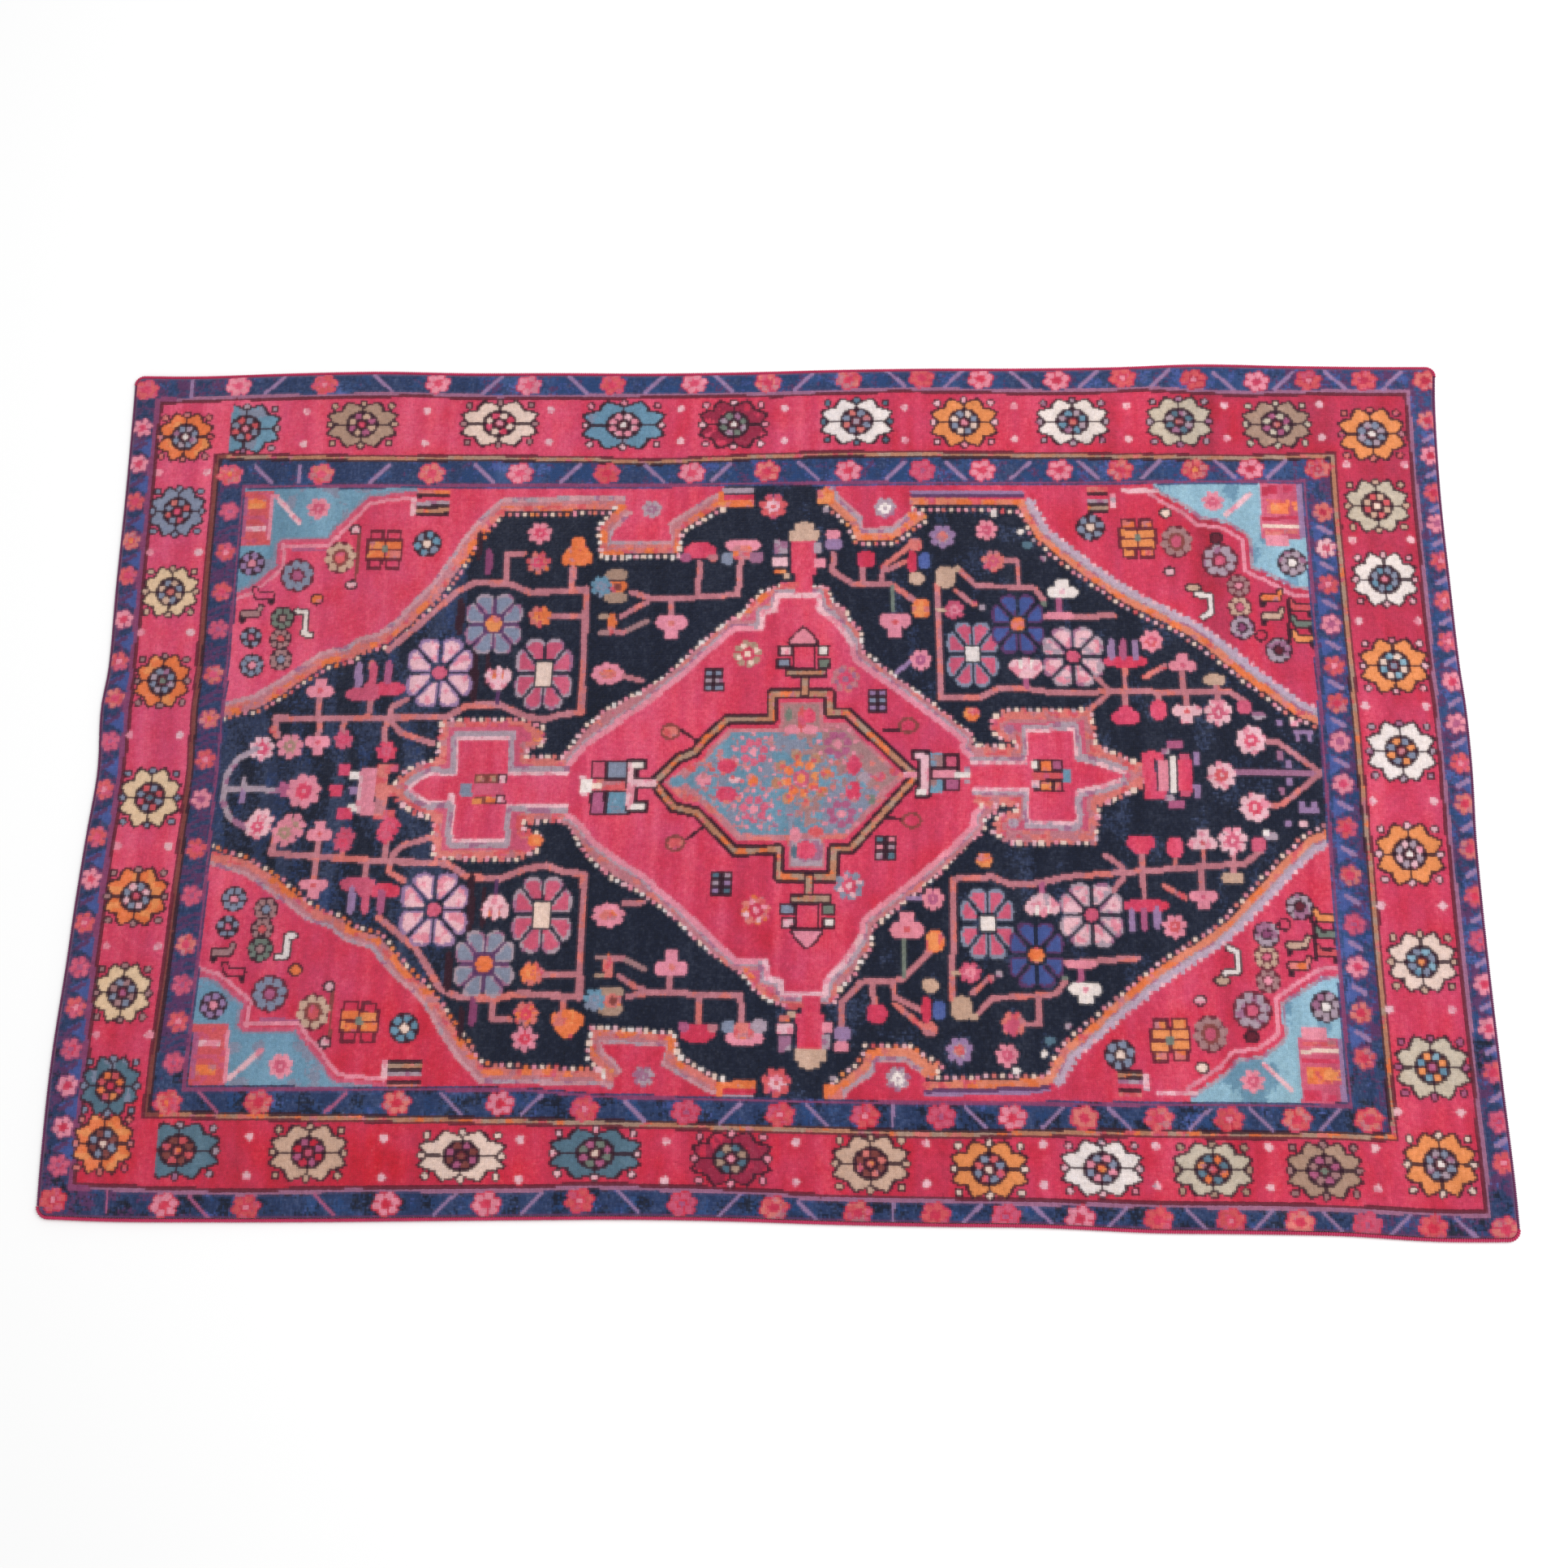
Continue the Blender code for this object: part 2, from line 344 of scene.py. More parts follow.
MEDALLION = [
    (-33, 1.2), (-31.5, 2.2), (-30, 5), (-28, 7.5), (-25, 10), (-20, 12.7), (-16, 15.5), (-12, 19.5),
    (-8, 23), (-5, 25), (-3.5, 27), (-1.5, 29), (1, 30), (8.5, 29.7), (9.5, 27.5), (11.5, 26),
    (12.5, 24), (14, 22.5), (14, 19.5), (17, 17), (20, 14.5), (24, 11.5), (28, 8), (30.8, 6),
    (31.2, 4.4), (33, 3.4),
]
MEDALLION_LINE = [
    (-32.5, 0.2), (-31, 0.8), (-28, 4.6), (-20, 10.2), (-14, 15), (-9, 20), (-6, 22.8), (-1.5, 23),
    (-1.2, 25.5), (0.8, 26), (1, 28.3), (7.3, 28.3), (7.5, 26), (10, 24), (12.6, 20.5), (13, 18),
    (20, 12.7), (26, 8), (29.5, 5), (29.7, 3.5), (31.5, 1.7), (33, 1.6),
]


def drawn_in(half, points, out):
    """The medallion's outline. Its near right side comes out nearer the middle than its far one."""
    points = path(half, beside(points, out))
    if half == FAR_HALF:
        return points
    return [(x, y + float(np.interp(x, (10, 14, 26, 31, 33), (0, 0.8, 0.6, 1.6, 1.6)))) for x, y in points]


for half in BOTH:
    middle_row = [(33, -1.5), (-33, -2.8)]
    area(drawn_in(half, MEDALLION, -0.5) + middle_row, "rose", BLOCK)
    line(drawn_in(half, MEDALLION, -0.7), 0.9, "stem pink", KNOT)
    beads(drawn_in(half, MEDALLION, 0), 1.05, 0.65, ("white", "pale pink", "pink", "cream"))
    area(drawn_in(half, MEDALLION_LINE, 0) + middle_row, "crimson", BLOCK)
    for points, out, width, wool in (
        (MEDALLION_LINE, 1.1, 0.7, "stem pink"), (MEDALLION_LINE, 0.6, 0.4, "grey lilac"),
        (MEDALLION_LINE, 0, 0.9, "pink"), (MEDALLION[9:15], -0.8, 0.9, "salmon"),
        (MEDALLION_LINE[7:15], 0.9, 0.6, "grey lilac"), (MEDALLION_LINE[7:15], 0.1, 0.8, "pale pink"),
    ):
        line(drawn_in(half, points, out), width, wool, KNOT)

    # The crimson stalk that ties the medallion to the field's edge, with its little cap.
    blocks(half, (
        ("crimson", (5, 34.8, 4, 5.6), (5.1, 31, 2.6, 4.4)),
        ("beige", (5, 38.4, 4.6, 1.8), (5, 39.8, 3, 1.2), (5, 40.6, 1.2, 0.6), (2.3, 31.6, 1, 1)),
        ("grey lilac", (1.3, 36.5, 2, 2.2), (7.3, 36.3, 1.2, 1.9)), ("pale pink", (1.3, 34.1, 2.2, 1.5)),
        ("orange", (1.3, 32.4, 1.6, 0.8)), ("pink", (7.5, 33.8, 1.6, 1.6)),
        ("coral", (2.8, 30.2, 2.8, 0.8)),
    ))


def mirrored(points, middle):
    return [(x, 2 * middle - y) for x, y in points]


def pendant(edge, inner, middle, edge_bands, inner_bands):
    """A cross-shaped pendant on an end of the medallion, the same above and below its middle."""
    for outside in (edge, mirrored(edge, middle)):
        area(outside + [(edge[-1][0], middle), (edge[0][0], middle)], "rose", BLOCK)
    for outside, inside, sign in ((edge, inner, 1), (mirrored(edge, middle), mirrored(inner, middle), -1)):
        for out, width, wool in edge_bands:
            line(beside(outside, sign * out), width, wool, KNOT)
        area(inside + [(inner[-1][0], middle), (inner[0][0], middle)], "crimson", KNOT)
        for out, width, wool in inner_bands:
            line(beside(inside, sign * out), width, wool, KNOT)
        beads(beside(outside, sign * 0.85), 1.1, 0.7, ("cream", "salmon", "pale pink"))


# Left pendant, drawn from its tip to the neck; right pendant from its neck to the tip.
pendant(
    [(-57.2, -2.8), (-56, -1.2), (-53.8, 0.3), (-50.4, 1.5), (-50.4, 7.3), (-38.2, 7.3),
     (-35.6, 6.2), (-35.4, 4.8), (-37.8, 4.2), (-37.8, 1.6), (-31.5, 1.4)],
    [(-55, -2.8), (-53.5, -1.6), (-52, -0.8), (-48, -0.8), (-48, 5), (-40.2, 5), (-40.2, -0.5),
     (-31, -0.5)],
    -2.8,
    [(-0.9, 0.6, "rose"), (0, 1, "salmon")],
    [(0.3, 0.6, "pale pink"), (1, 0.9, "grey lilac")],
)
pendant(
    [(31.5, 3.2), (38, 3.2), (37.9, 5.4), (35, 6.2), (34.6, 7.8), (36.4, 8.9), (48.7, 9),
     (48.9, 3.6), (52, 2.2), (54.5, 1), (56.8, -0.5)],
    [(31, 1), (39.3, 1.2), (39.3, 6.4), (46.2, 6.4), (46.2, 1.8), (50.5, 0.6), (53.5, -0.5)],
    -0.6,
    [(0, 1.1, "salmon"), (-0.8, 0.6, "stem pink")],
    [(0.4, 0.7, "pale pink"), (1.1, 0.7, "grey lilac")],
)
oval(-35.9, 5.5, 0.9, 0.9, "orange")
oval(-35.4, -10.8, 1.2, 1, "orange")
oval(36.6, 6.7, 0.8, 0.8, "grey lilac")
oval(36.8, -7.9, 0.8, 0.8, "grey lilac")

# The small box in each pendant.
blocks(FAR_HALF, (
    ("slate", (-46.4, -3, 1.8, 2)), ("rose", (-43, -2.9, 4.6, 1.7)),
    ("brown", (-43.2, -1.2, 4, 1.3), (-43.2, -4.6, 4, 1.3)),
    ("gold", (-44.4, -1.2, 1, 0.8), (-42.4, -1.2, 1, 0.8)), ("amber", (-44.6, -4.7, 1.4, 0.9)),
    ("dark", (-41, -1.3, 1.5, 1.5), (42.3, 1, 4.6, 2), (42.3, -2.1, 4.6, 2)),
    ("coral", (42, -0.6, 4.2, 1.1)), ("white", (40.3, 1, 1, 1.2)), ("mauve", (43.7, 1, 1.1, 1.2)),
    ("salmon", (43.7, -2.2, 1.1, 1.2)), ("sky", (45.1, -0.6, 1.3, 2)),
    ("pale pink", (-48.7, -4.1, 1, 1), (-41, -1.3, 0.9, 1), (40.3, -2, 1, 1.2)),
    ("orange", (-42.4, -4.4, 1.6, 0.9), (41.9, 1, 1.4, 1.4), (41.9, -2.2, 1.4, 1.4)),
    ("dark", (-41, -4.5, 1.6, 1.6)), ("pale pink", (-41, -4.4, 1, 1)),
))

# The six-sided centre: near-black outline, pink line, then blue wool round a gold cross flower.
CENTRE = [
    (-17.6, -1.8), (-14, 2), (-11.5, 3), (-10, 5), (-6.5, 8.3), (0.3, 8.3), (0.3, 12.4), (9.2, 12.4),
    (9.2, 9.3), (11.8, 9.3), (22.3, -0.7), (12.4, -12), (9.8, -12), (9.8, -16.3), (1.6, -16.3),
    (1.6, -12.1), (-5, -12.4), (-11, -6.4), (-14.5, -5.6), (-17.6, -1.8),
]
line(CENTRE, 1.9, "dark")
line(CENTRE, 0.8, "gold")
area([(-16, -1.8), (-13, 0.5), (-10.5, 1.8), (-9, 4.2), (-6, 7), (1.6, 7), (1.6, 11.2), (8, 11.2),
      (8, 7.8), (11.4, 7.8), (20.6, -0.7), (11.6, -10.6), (8.4, -10.6), (8.4, -15), (3, -15),
      (3, -10.8), (-4.6, -10.8), (-10.4, -5), (-13.5, -4.2)], "stem pink", KNOT)
area([(-13, -1.6), (-9.5, 2.4), (-6, 6.3), (10, 6.3), (13, 4.2), (18.6, -0.7), (11, -9.6), (-4, -9.9),
      (-9.4, -4.6)], "sky", KNOT)
area([(8, 6.5), (12, 6.5), (19.6, -0.7), (17, -3), (13, 2), (8, 3.5)], "taupe", KNOT)
area([(9, -2), (17, -3), (11.6, -9.6), (8, -9.4), (8, -6)], "slate", KNOT)
area([(2, 7), (7.6, 7), (7.6, 10.8), (2, 10.8)], "taupe", KNOT)
area([(3.4, -10.5), (8, -10.5), (8, -14.6), (3.4, -14.6)], "grey lilac", KNOT)


def petals(x, y, r, wool, count, spread=0.66, size=0.27, wide=1):
    """Round petals in a ring, with the ground showing between them."""
    for k in range(count):
        turn = 2 * math.pi * (k + 0.25) / count
        out_x, out_y = spread * r * math.cos(turn), spread * r * math.sin(turn)
        oval(x + out_x * wide, y + out_y, size * r * wide, size * r, wool)


for x, y, rx, ry, wool in (
    (-14, -1.5, 1.2, 1, "sky"), (-11.9, 0.6, 0.8, 0.7, "coral"), (-12.4, -4, 0.9, 0.7, "salmon"),
    (-10, -1.3, 1.2, 1, "pink"), (-6.5, 0.9, 1.5, 1.2, "crimson"), (-6.5, -3.6, 1.6, 1.3, "crimson"),
    (-5.3, -1.3, 1, 0.5, "pale pink"), (-2.5, -1.5, 0.8, 1, "orange"), (4.9, 8.3, 0.6, 2, "coral"),
    (3.4, 6.6, 1.2, 0.8, "pink"), (6.2, 6.6, 1.2, 0.8, "pink"), (6.1, 8.8, 0.9, 1.2, "crimson"),
    (2.9, 9, 0.6, 1, "grey green"), (5.6, -12.2, 1.6, 1.4, "crimson"), (4, -9.8, 0.9, 1.2, "pink"),
    (7.2, -9.3, 1.2, 0.8, "coral"), (3.9, -12.4, 0.5, 1.1, "teal"), (12.9, 1, 1.1, 1.6, "crimson"),
    (12.8, -3.1, 1.2, 1.6, "crimson"), (14.6, -0.9, 1, 0.8, "grey lilac"),
    (16.8, -0.8, 0.9, 0.8, "coral"), (15.6, -4.4, 0.6, 0.8, "grey green"), (19, 0, 0.8, 0.6, "coral"),
):
    oval(x, y, rx, ry, wool)
for x, y, wool in ((-2.4, 3.1, "rose"), (-2.3, -5.9, "rose"), (10.4, 4.3, "mauve"), (11, -6.6, "mauve")):
    petals(x, y, 2.4, wool, 7)
    oval(x, y, 0.7, 0.7, "pink")
    petals(x, y, 3.6, "pink", 9, 0.8, 0.1)
for x, y in ((-6.5, -1.3), (13, -1)):
    petals(x, y, 4.4, "stem pink", 11, 0.8, 0.1)
petals(4.9, -1.1, 5.2, "gold", 8, 0.72, 0.17)
petals(4.9, -1.1, 3.6, "orange", 8, 0.62, 0.2)
petals(4.9, -1.1, 4.4, "coral", 8, 0.78, 0.09)
oval(4.9, -1.1, 1.2, 1.3, "rose")
oval(4.9, -1.1, 0.6, 0.7, "amber")
for k in range(90):
    # Little flecks of whatever wool was at hand fill the gaps.
    x = -10 + 28 * (k * 0.618 % 1)
    y = -9 + 15.2 * ((k * 0.7549 + 0.13) % 1)
    fleck = ("pink", "grey lilac", "salmon", "sky", "rose", "slate", "taupe", "coral")[k % 8]
    if abs(y + 1.2) < 8.3 - 0.5 * max(0, x - 1) and abs(y + 1.6) < 5 + 0.5 * (x + 9):
        block(x, y, 0.65, 0.5, fleck)

# Combs on the two points of the centre.
blocks(FAR_HALF, (
    ("dark", (-24.2, 0.2, 6.4, 3.2), (-24.2, -5, 6.4, 4), (23.6, -0.4, 2.2, 7.2), (23, 2.6, 2.8, 1.8),
     (23.2, -3.3, 2.4, 1.7), (26.4, 0, 5, 6)), ("rose", (-26.1, 0.2, 1.6, 2.3), (27.6, 1.6, 1.6, 1.6)),
    ("mauve", (-26.1, -5, 1.6, 3.1), (27.7, -2, 1.8, 1.6)), ("slate", (-23.2, 0.2, 2.8, 2.4)),
    ("pale pink", (23.6, -0.4, 1.1, 6.2), (22.9, 2.5, 1.7, 0.9), (21.4, -0.5, 2, 1)),
    ("sky", (-23.2, -4.9, 2.8, 3.2), (25.4, 2, 1.8, 2), (25.4, -2.3, 1.8, 2)),
    ("salmon", (-24, -2.2, 5, 1.6)),
    ("dark", (-19.6, -1.8, 5, 1.9), (-20.9, -2.2, 2, 8.4), (-20, 1.2, 2.6, 1.8), (-19.8, -5.6, 3, 1.9)),
    ("pink", (26.6, -0.3, 3.4, 1.2)),
    ("white", (-28, -2.3, 1.9, 2.2), (23.1, -3.1, 1.6, 0.9), (29.4, -0.5, 2.4, 1)),
    ("pale pink", (-21.2, -2.3, 1.1, 7.6), (-19.5, -1.8, 4.6, 1), (-28.5, -0.9, 1, 0.7),
     (-28.3, -3.6, 1, 0.7)), ("white", (-20.2, 1, 2, 1), (-20, -5.6, 2.2, 1)),
    ("grey lilac", (30, 0.5, 0.9, 0.8), (30, -1.5, 0.8, 0.7)), ("cream", (-26.4, -2.3, 1.6, 0.8)),
))


def edged_block(x, y, w, h, wool):
    block(x, y, w + 0.7, h + 0.7, "dark")
    block(x, y, w, h, wool)


def leaf_box(x, y, wools):
    """A little dark ladder with six cells."""
    block(x, y, 3.2, 3.9, "dark")
    for k in range(3):
        for side in (-1, 1):
            block(x + side * 0.85, y + (k - 1) * 1.2, 0.95, 0.65, wools[(k + side) % len(wools)])


leaf_box(-8.8, 14.6, ("grey lilac", "slate"))
leaf_box(-7, -17.3, ("grey lilac", "teal", "lilac"))
leaf_box(16.5, 11.2, ("slate", "lilac"))
leaf_box(17.6, -11.8, ("pink", "teal", "grey lilac"))
for points in ([(-13.6, 6.5), (-11.4, 5)], [(-12.4, -10.6), (-10.2, -8.9)], [(17.4, 6.5), (19.8, 6.6)],
               [(17.5, -7.2), (20.2, -7.4)]):
    line(points, 0.55, "dark")
for x, y, wool in ((-15.3, 6.3, "salmon"), (-14.1, -11.2, "salmon"), (21.2, 7.3, "crimson"),
                   (21.6, -7.6, "crimson")):
    oval(x, y, 1.6, 1.3, "brown")
    oval(x, y, 1.15, 0.9, wool)

# The gold T above and below the centre, with a heart and four small boxes round it.
for x, side, top in ((5.3, 1, 12.4), (6.2, -1, -16.3)):
    for dx, y, w, h, wool in (
        (0, 1.6, 0.9, 3.6, "gold"), (0.2, 3.3, 5.8, 0.7, "gold"), (-0.2, 6, 3, 3.6, "crimson"),
        (-3.1, 6.9, 1.5, 1, "pale pink"), (-3.3, 4.9, 1.6, 1, "slate"), (2.9, 6.9, 1.2, 1, "white"),
        (2.9, 4.9, 1.4, 1, "grey green"),
    ):
        edged_block(x + dx, top + side * y, w, h, wool)
    for grown, wool in ((0.5, "dark"), (0, "pink")):
        heart = [(-2.4 - grown, 8.2), (-1.5 - grown, 9.6), (-0.3, 10.6 + grown), (0.9 + grown, 9.6),
                 (1.8 + grown, 8.2), (1.2 + grown, 8.1 - grown), (-1.8 - grown, 8.1 - grown)]
        area([(x + dx, top + side * dy) for dx, dy in heart], wool)
for x, y, wool, tips in ((-3.6, 18.8, "khaki", "cream"), (11.6, 14.8, "stem pink", "orchid"),
                         (-1.8, -21.4, "salmon", "pale pink"), (12.2, -17.6, "slate", "pale pink")):
    petals(x, y, 2.7, wool, 8, 0.62, 0.22)
    petals(x, y, 2.9, tips, 4, 0.5, 0.15)
    oval(x, y, 0.5, 0.5, tips)


# ---- Garden of the field --------------------------------------------------------------------------
# Pink stems run square through the navy field and carry rosettes, tulips, combs and round flowers.
# The left and the right side differ, and each is repeated from the far half in the near half.

def planted(half, x, y):
    """Where a garden figure goes. In the near half they crowd inward on the right of the medallion
    and spread outward on its left."""
    x, y = at(half, x, y)
    if half == NEAR_HALF:
        y += float(np.interp(x, (9, 12, 25.5, 27), (0.5, 1, 1, 0))
                   * np.interp(-y, (20, 22, 30, 35, 38, 42, 44), (0, 3, 5.5, 3.5, 2.4, 2, 0))
                   - np.interp(x, (-52, -48, -4, -2), (0, 1, 1, 0))
                   * np.interp(-y, (24, 26.5, 28, 32, 34, 36.5, 40.5), (0, 1.4, 2.5, 2.9, 2, 1, 0)))
    return x, y


def rosette(half, x, y, w, h, petal, rim, heart, heart_w, heart_h, gap="navy"):
    """Eight large petals about a small heart, each petal with a rim of another wool."""
    x, y = at(half, x, y)
    part, kx, ky = patch(x - w, x + w, y - h, y + h)
    u, v = np.abs(kx - x) / (w / 2), np.abs(ky - y) / (h / 2)
    r, turn = (u ** 3.5 + v ** 3.5) ** (1 / 3.5), np.arctan2(v, u)
    across = np.abs((turn / (math.pi / 4)) % 1 - 0.5) * 2
    from_gap = np.sin((1 - across) * math.pi / 8) * np.hypot(kx - x, ky - y)
    tip = 1.02 - 0.22 * across ** 3
    tie(part, r < tip, gap)
    tie(part, (r < tip) & (from_gap > 0.25), rim)
    tie(part, (r < tip - 0.1) & (r > 0.32) & (from_gap > 0.5), petal)
    block(x, y, heart_w + 0.8, heart_h + 0.8, gap)
    if heart_w == heart_h:
        oval(x, y, heart_w / 2, heart_h / 2, heart)
    else:
        block(x, y, heart_w, heart_h, heart)


def round_flowers(half, flowers, count=7):
    """Round petals about a heart of another wool: x, y, radius, petals, heart."""
    for x, y, r, petal, spot in flowers:
        x, y = planted(half, x, y)
        oval(x, y, 0.66 * r, 0.66 * r, spot)
        petals(x, y, r, petal, count, 0.69, 0.28)
        oval(x, y, 0.32 * r, 0.32 * r, spot)
        oval(x, y, 0.15 * r, 0.15 * r, petal)


def tulip(half, x, y, w, h, petal, heart):
    """Three petals that open away from the rug's middle."""
    x, y = at(half, x, y)
    oval(x, y - half * h * 0.16, w * 0.36, h * 0.34, petal)
    for side in (-1, 1):
        oval(x + side * w * 0.34, y + half * h * 0.12, w * 0.17, h * 0.32, petal)
    oval(x, y + half * h * 0.2, w * 0.16, h * 0.34, petal)
    for side in (-1, 1):
        block(x + side * w * 0.17, y + half * h * 0.22, 0.4, h * 0.4, heart)


def trefoil(half, x, y, w, h, wool, heart, facing=1):
    """Two side lobes and one at the tip; facing 1 opens away from the rug's middle, -1 towards it."""
    x, y = planted(half, x, y)
    up = facing * half
    for side in (-1, 1):
        oval(x + side * w * 0.3, y - up * h * 0.14, w * 0.22, h * 0.26, wool)
    block(x, y + up * h * 0.14, w * 0.42, h * 0.66, wool)
    block(x, y - up * h * 0.18, w * 0.6, h * 0.4, wool)
    oval(x, y - up * h * 0.1, w * 0.1, h * 0.12, heart)


STEMS = {
    # width, wool: paths
    (0.8, "salmon"): [
        [(17.5, 33.2), (21.6, 36.6)], [(57.5, 15), (60.5, 16.8)],
    ],
    (1, "stem pink"): [
        [(-76.5, 5.5), (-77, 8.4), (-63, 8.4), (-50, 8.7), (-47, 10.5), (-42, 10.6), (-38, 8.8),
         (-35, 8.2), (-32.4, 9), (-29.2, 9.4), (-29.2, 29.6)],
        [(-29.2, 29.4), (-38, 29), (-41.5, 30.5), (-47, 30.7), (-50, 29), (-54, 25), (-60, 19.6)],
        [(-31.5, 29.4), (-31.5, 33)], [(-35, 25), (-29.5, 25)],
    ],
    (0.9, "stem pink"): [
        [(-42, 30.6), (-42, 35.6), (-39.4, 35.6)], [(-59, 8.8), (-58.8, 10.2), (-56.5, 11.5)],
        [(-58.6, 7.6), (-57, 6), (-52, 4.4)], [(-59.6, 8), (-59.6, 4)], [(-66.2, 8), (-66.2, 5.5)],
        [(-70, 8.4), (-70, 5)], [(-70.3, 9), (-70.3, 12)], [(-62.4, 8.8), (-62.4, 17.5)],
        [(-22, 29), (-19, 28), (-14, 28), (-5.3, 28.6), (-4.9, 35)], [(-11.5, 28.3), (-11.5, 34)],
        [(-15.8, 28), (-15.8, 25)], [(9.6, 35.4), (9.6, 32.4), (12.5, 30.4), (18.5, 30.4), (23, 27)],
        [(14.3, 33), (14.3, 30.6)],
        [(25.9, 30), (26.2, 11.7), (32, 11.7), (35, 13.2), (39, 13.2), (43, 12.6), (70, 12.7),
         (72.6, 11)],
        [(42.3, 24.9), (53, 24.9)],
    ],
    (0.8, "stem pink"): [
        [(-19.5, 27.3), (-21, 26.6), (-23.5, 25)], [(-23, 15.2), (-20, 14.5)],
        [(17.2, 31), (17.4, 32.4), (19, 33), (21, 34)],
        [(29.3, 32.6), (31.8, 30), (41, 29.5), (42.4, 27.5)], [(38.5, 30), (38.5, 34), (36.5, 34.1)],
        [(49.5, 15.5), (51.5, 13.4), (51.5, 12), (49, 10)], [(54.4, 17), (54.4, 13)],
        [(54.3, 12.4), (54.3, 9.5)], [(59.3, 12.5), (59.3, 11)], [(63.2, 12.8), (63.2, 16)],
        [(63.6, 12.4), (63.6, 10)], [(68.2, 12.6), (68.2, 14)], [(68.3, 12.4), (68.3, 10)],
    ],
    (0.7, "stem pink"): [[(28.8, 29.2), (31, 27.2)]],
    (0.7, "beige"): [[(26, 26), (27.5, 26)]],
    (0.6, "grey green"): [[(18.9, 30), (18.9, 25.8)]],
    (0.7, "lilac"): [[(21.4, 17.4), (19.5, 15.8)]],
    (0.9, "mauve"): [[(44.6, 28), (44.6, 25)]],
    (0.8, "mauve"): [[(39.4, 15), (39.4, 13.4)]],
    (0.6, "purple"): [[(-42.4, 13), (-42.4, 10.8)]],
    (0.8, "taupe"): [[(-23, 22.4), (-19.5, 24.2)]],
}
BLOCKS = [
    # wool, then x, y, width and height of each
    ("orange", (-30.8, 35.2, 3.6, 3.4), (-30.8, 37, 2, 2.4), (-32.7, 34.6, 1.2, 1.8),
     (-29, 34.6, 1.2, 1.8), (23.4, 26.2, 2.6, 3), (30.9, 9.1, 2.1, 2)),
    ("dark", (-46.2, 15.5, 1.2, 9), (-44.2, 16.6, 0.8, 6), (-49, 25, 1.2, 6), (-46.6, 37, 0.8, 5)),
    ("pink", (-4.6, 36.8, 5.4, 1.8), (9.6, 38.6, 2.2, 1.5), (44.7, 25, 4.4, 1.2)),
    ("white", (39, 39, 0.9, 0.9), (35, 42, 1, 1.1)), ("plum", (-45, 34.2, 1.2, 4.2)),
    ("amber", (23.4, 26.2, 0.9, 2.6)), ("teal", (40, 36.7, 1.6, 1.1)),
    ("grey green", (42.4, 27, 0.8, 0.8)),
    ("crimson", (-11.5, 35.8, 5, 2.2), (-11.5, 36.6, 3.4, 1.4), (14.8, 34.4, 2.8, 2.6),
     (54.6, 17.5, 6.4, 1.7), (54.3, 8.6, 4, 2.2), (54.3, 9.9, 2.2, 0.9), (59.3, 9.8, 2.2, 3)),
    ("salmon", (-25, 23.8, 1.4, 3.4), (-4.7, 35.6, 3, 2.4), (22.5, 36.9, 2, 2), (31.6, 27, 1, 1)),
    ("khaki", (-24.5, 31.9, 3.4, 1.8), (-24.5, 28.1, 3.6, 1.6), (-26.3, 25, 1.6, 0.8)),
    ("stem pink", (-23.6, 22.4, 2, 0.8), (-9.4, 34.8, 1.6, 1.2)), ("salmon", (-24.2, 30, 2.6, 1.8)),
    ("brown", (-24.2, 30, 1.2, 1.2)), ("taupe", (-26.1, 22.3, 1.8, 0.8)), ("slate", (-7, 34.6, 1.8, 1.9)),
    ("lilac", (9.7, 37, 2.5, 1.9), (52.5, 19.4, 1, 3.4), (56.2, 19.4, 1, 3.4)),
    ("grey lilac", (-2.5, 34.8, 2.2, 1.8), (32.8, 26.3, 1, 1), (42.6, 34.4, 0.9, 0.9)),
    ("beige", (27.2, 31.4, 2.9, 3.4), (29, 32.8, 1.2, 0.9), (68, 14.6, 3.2, 1.6)),
    ("rose", (-63.5, 12.3, 5.2, 2), (72.3, 10.2, 2.2, 2)),
    ("crimson", (-59.4, 13.2, 4.6, 2), (22, 34, 1.3, 3.8)),
    ("mauve", (-59.8, 15.8, 1.2, 3.8), (-13.6, 34.8, 1.6, 1.3), (54.3, 19.4, 1, 3.4)),
    ("rose", (-62.4, 13, 2.4, 2.4), (-62.2, 15.6, 1.2, 4)), ("lilac", (-64.4, 15.4, 1.2, 4.2)),
    ("royal", (23.9, 34.1, 1.7, 2.6)), ("beige", (22.7, 31.2, 2.2, 1.9)),
    ("grey lilac", (74.3, 8.9, 2, 1.1)),
]
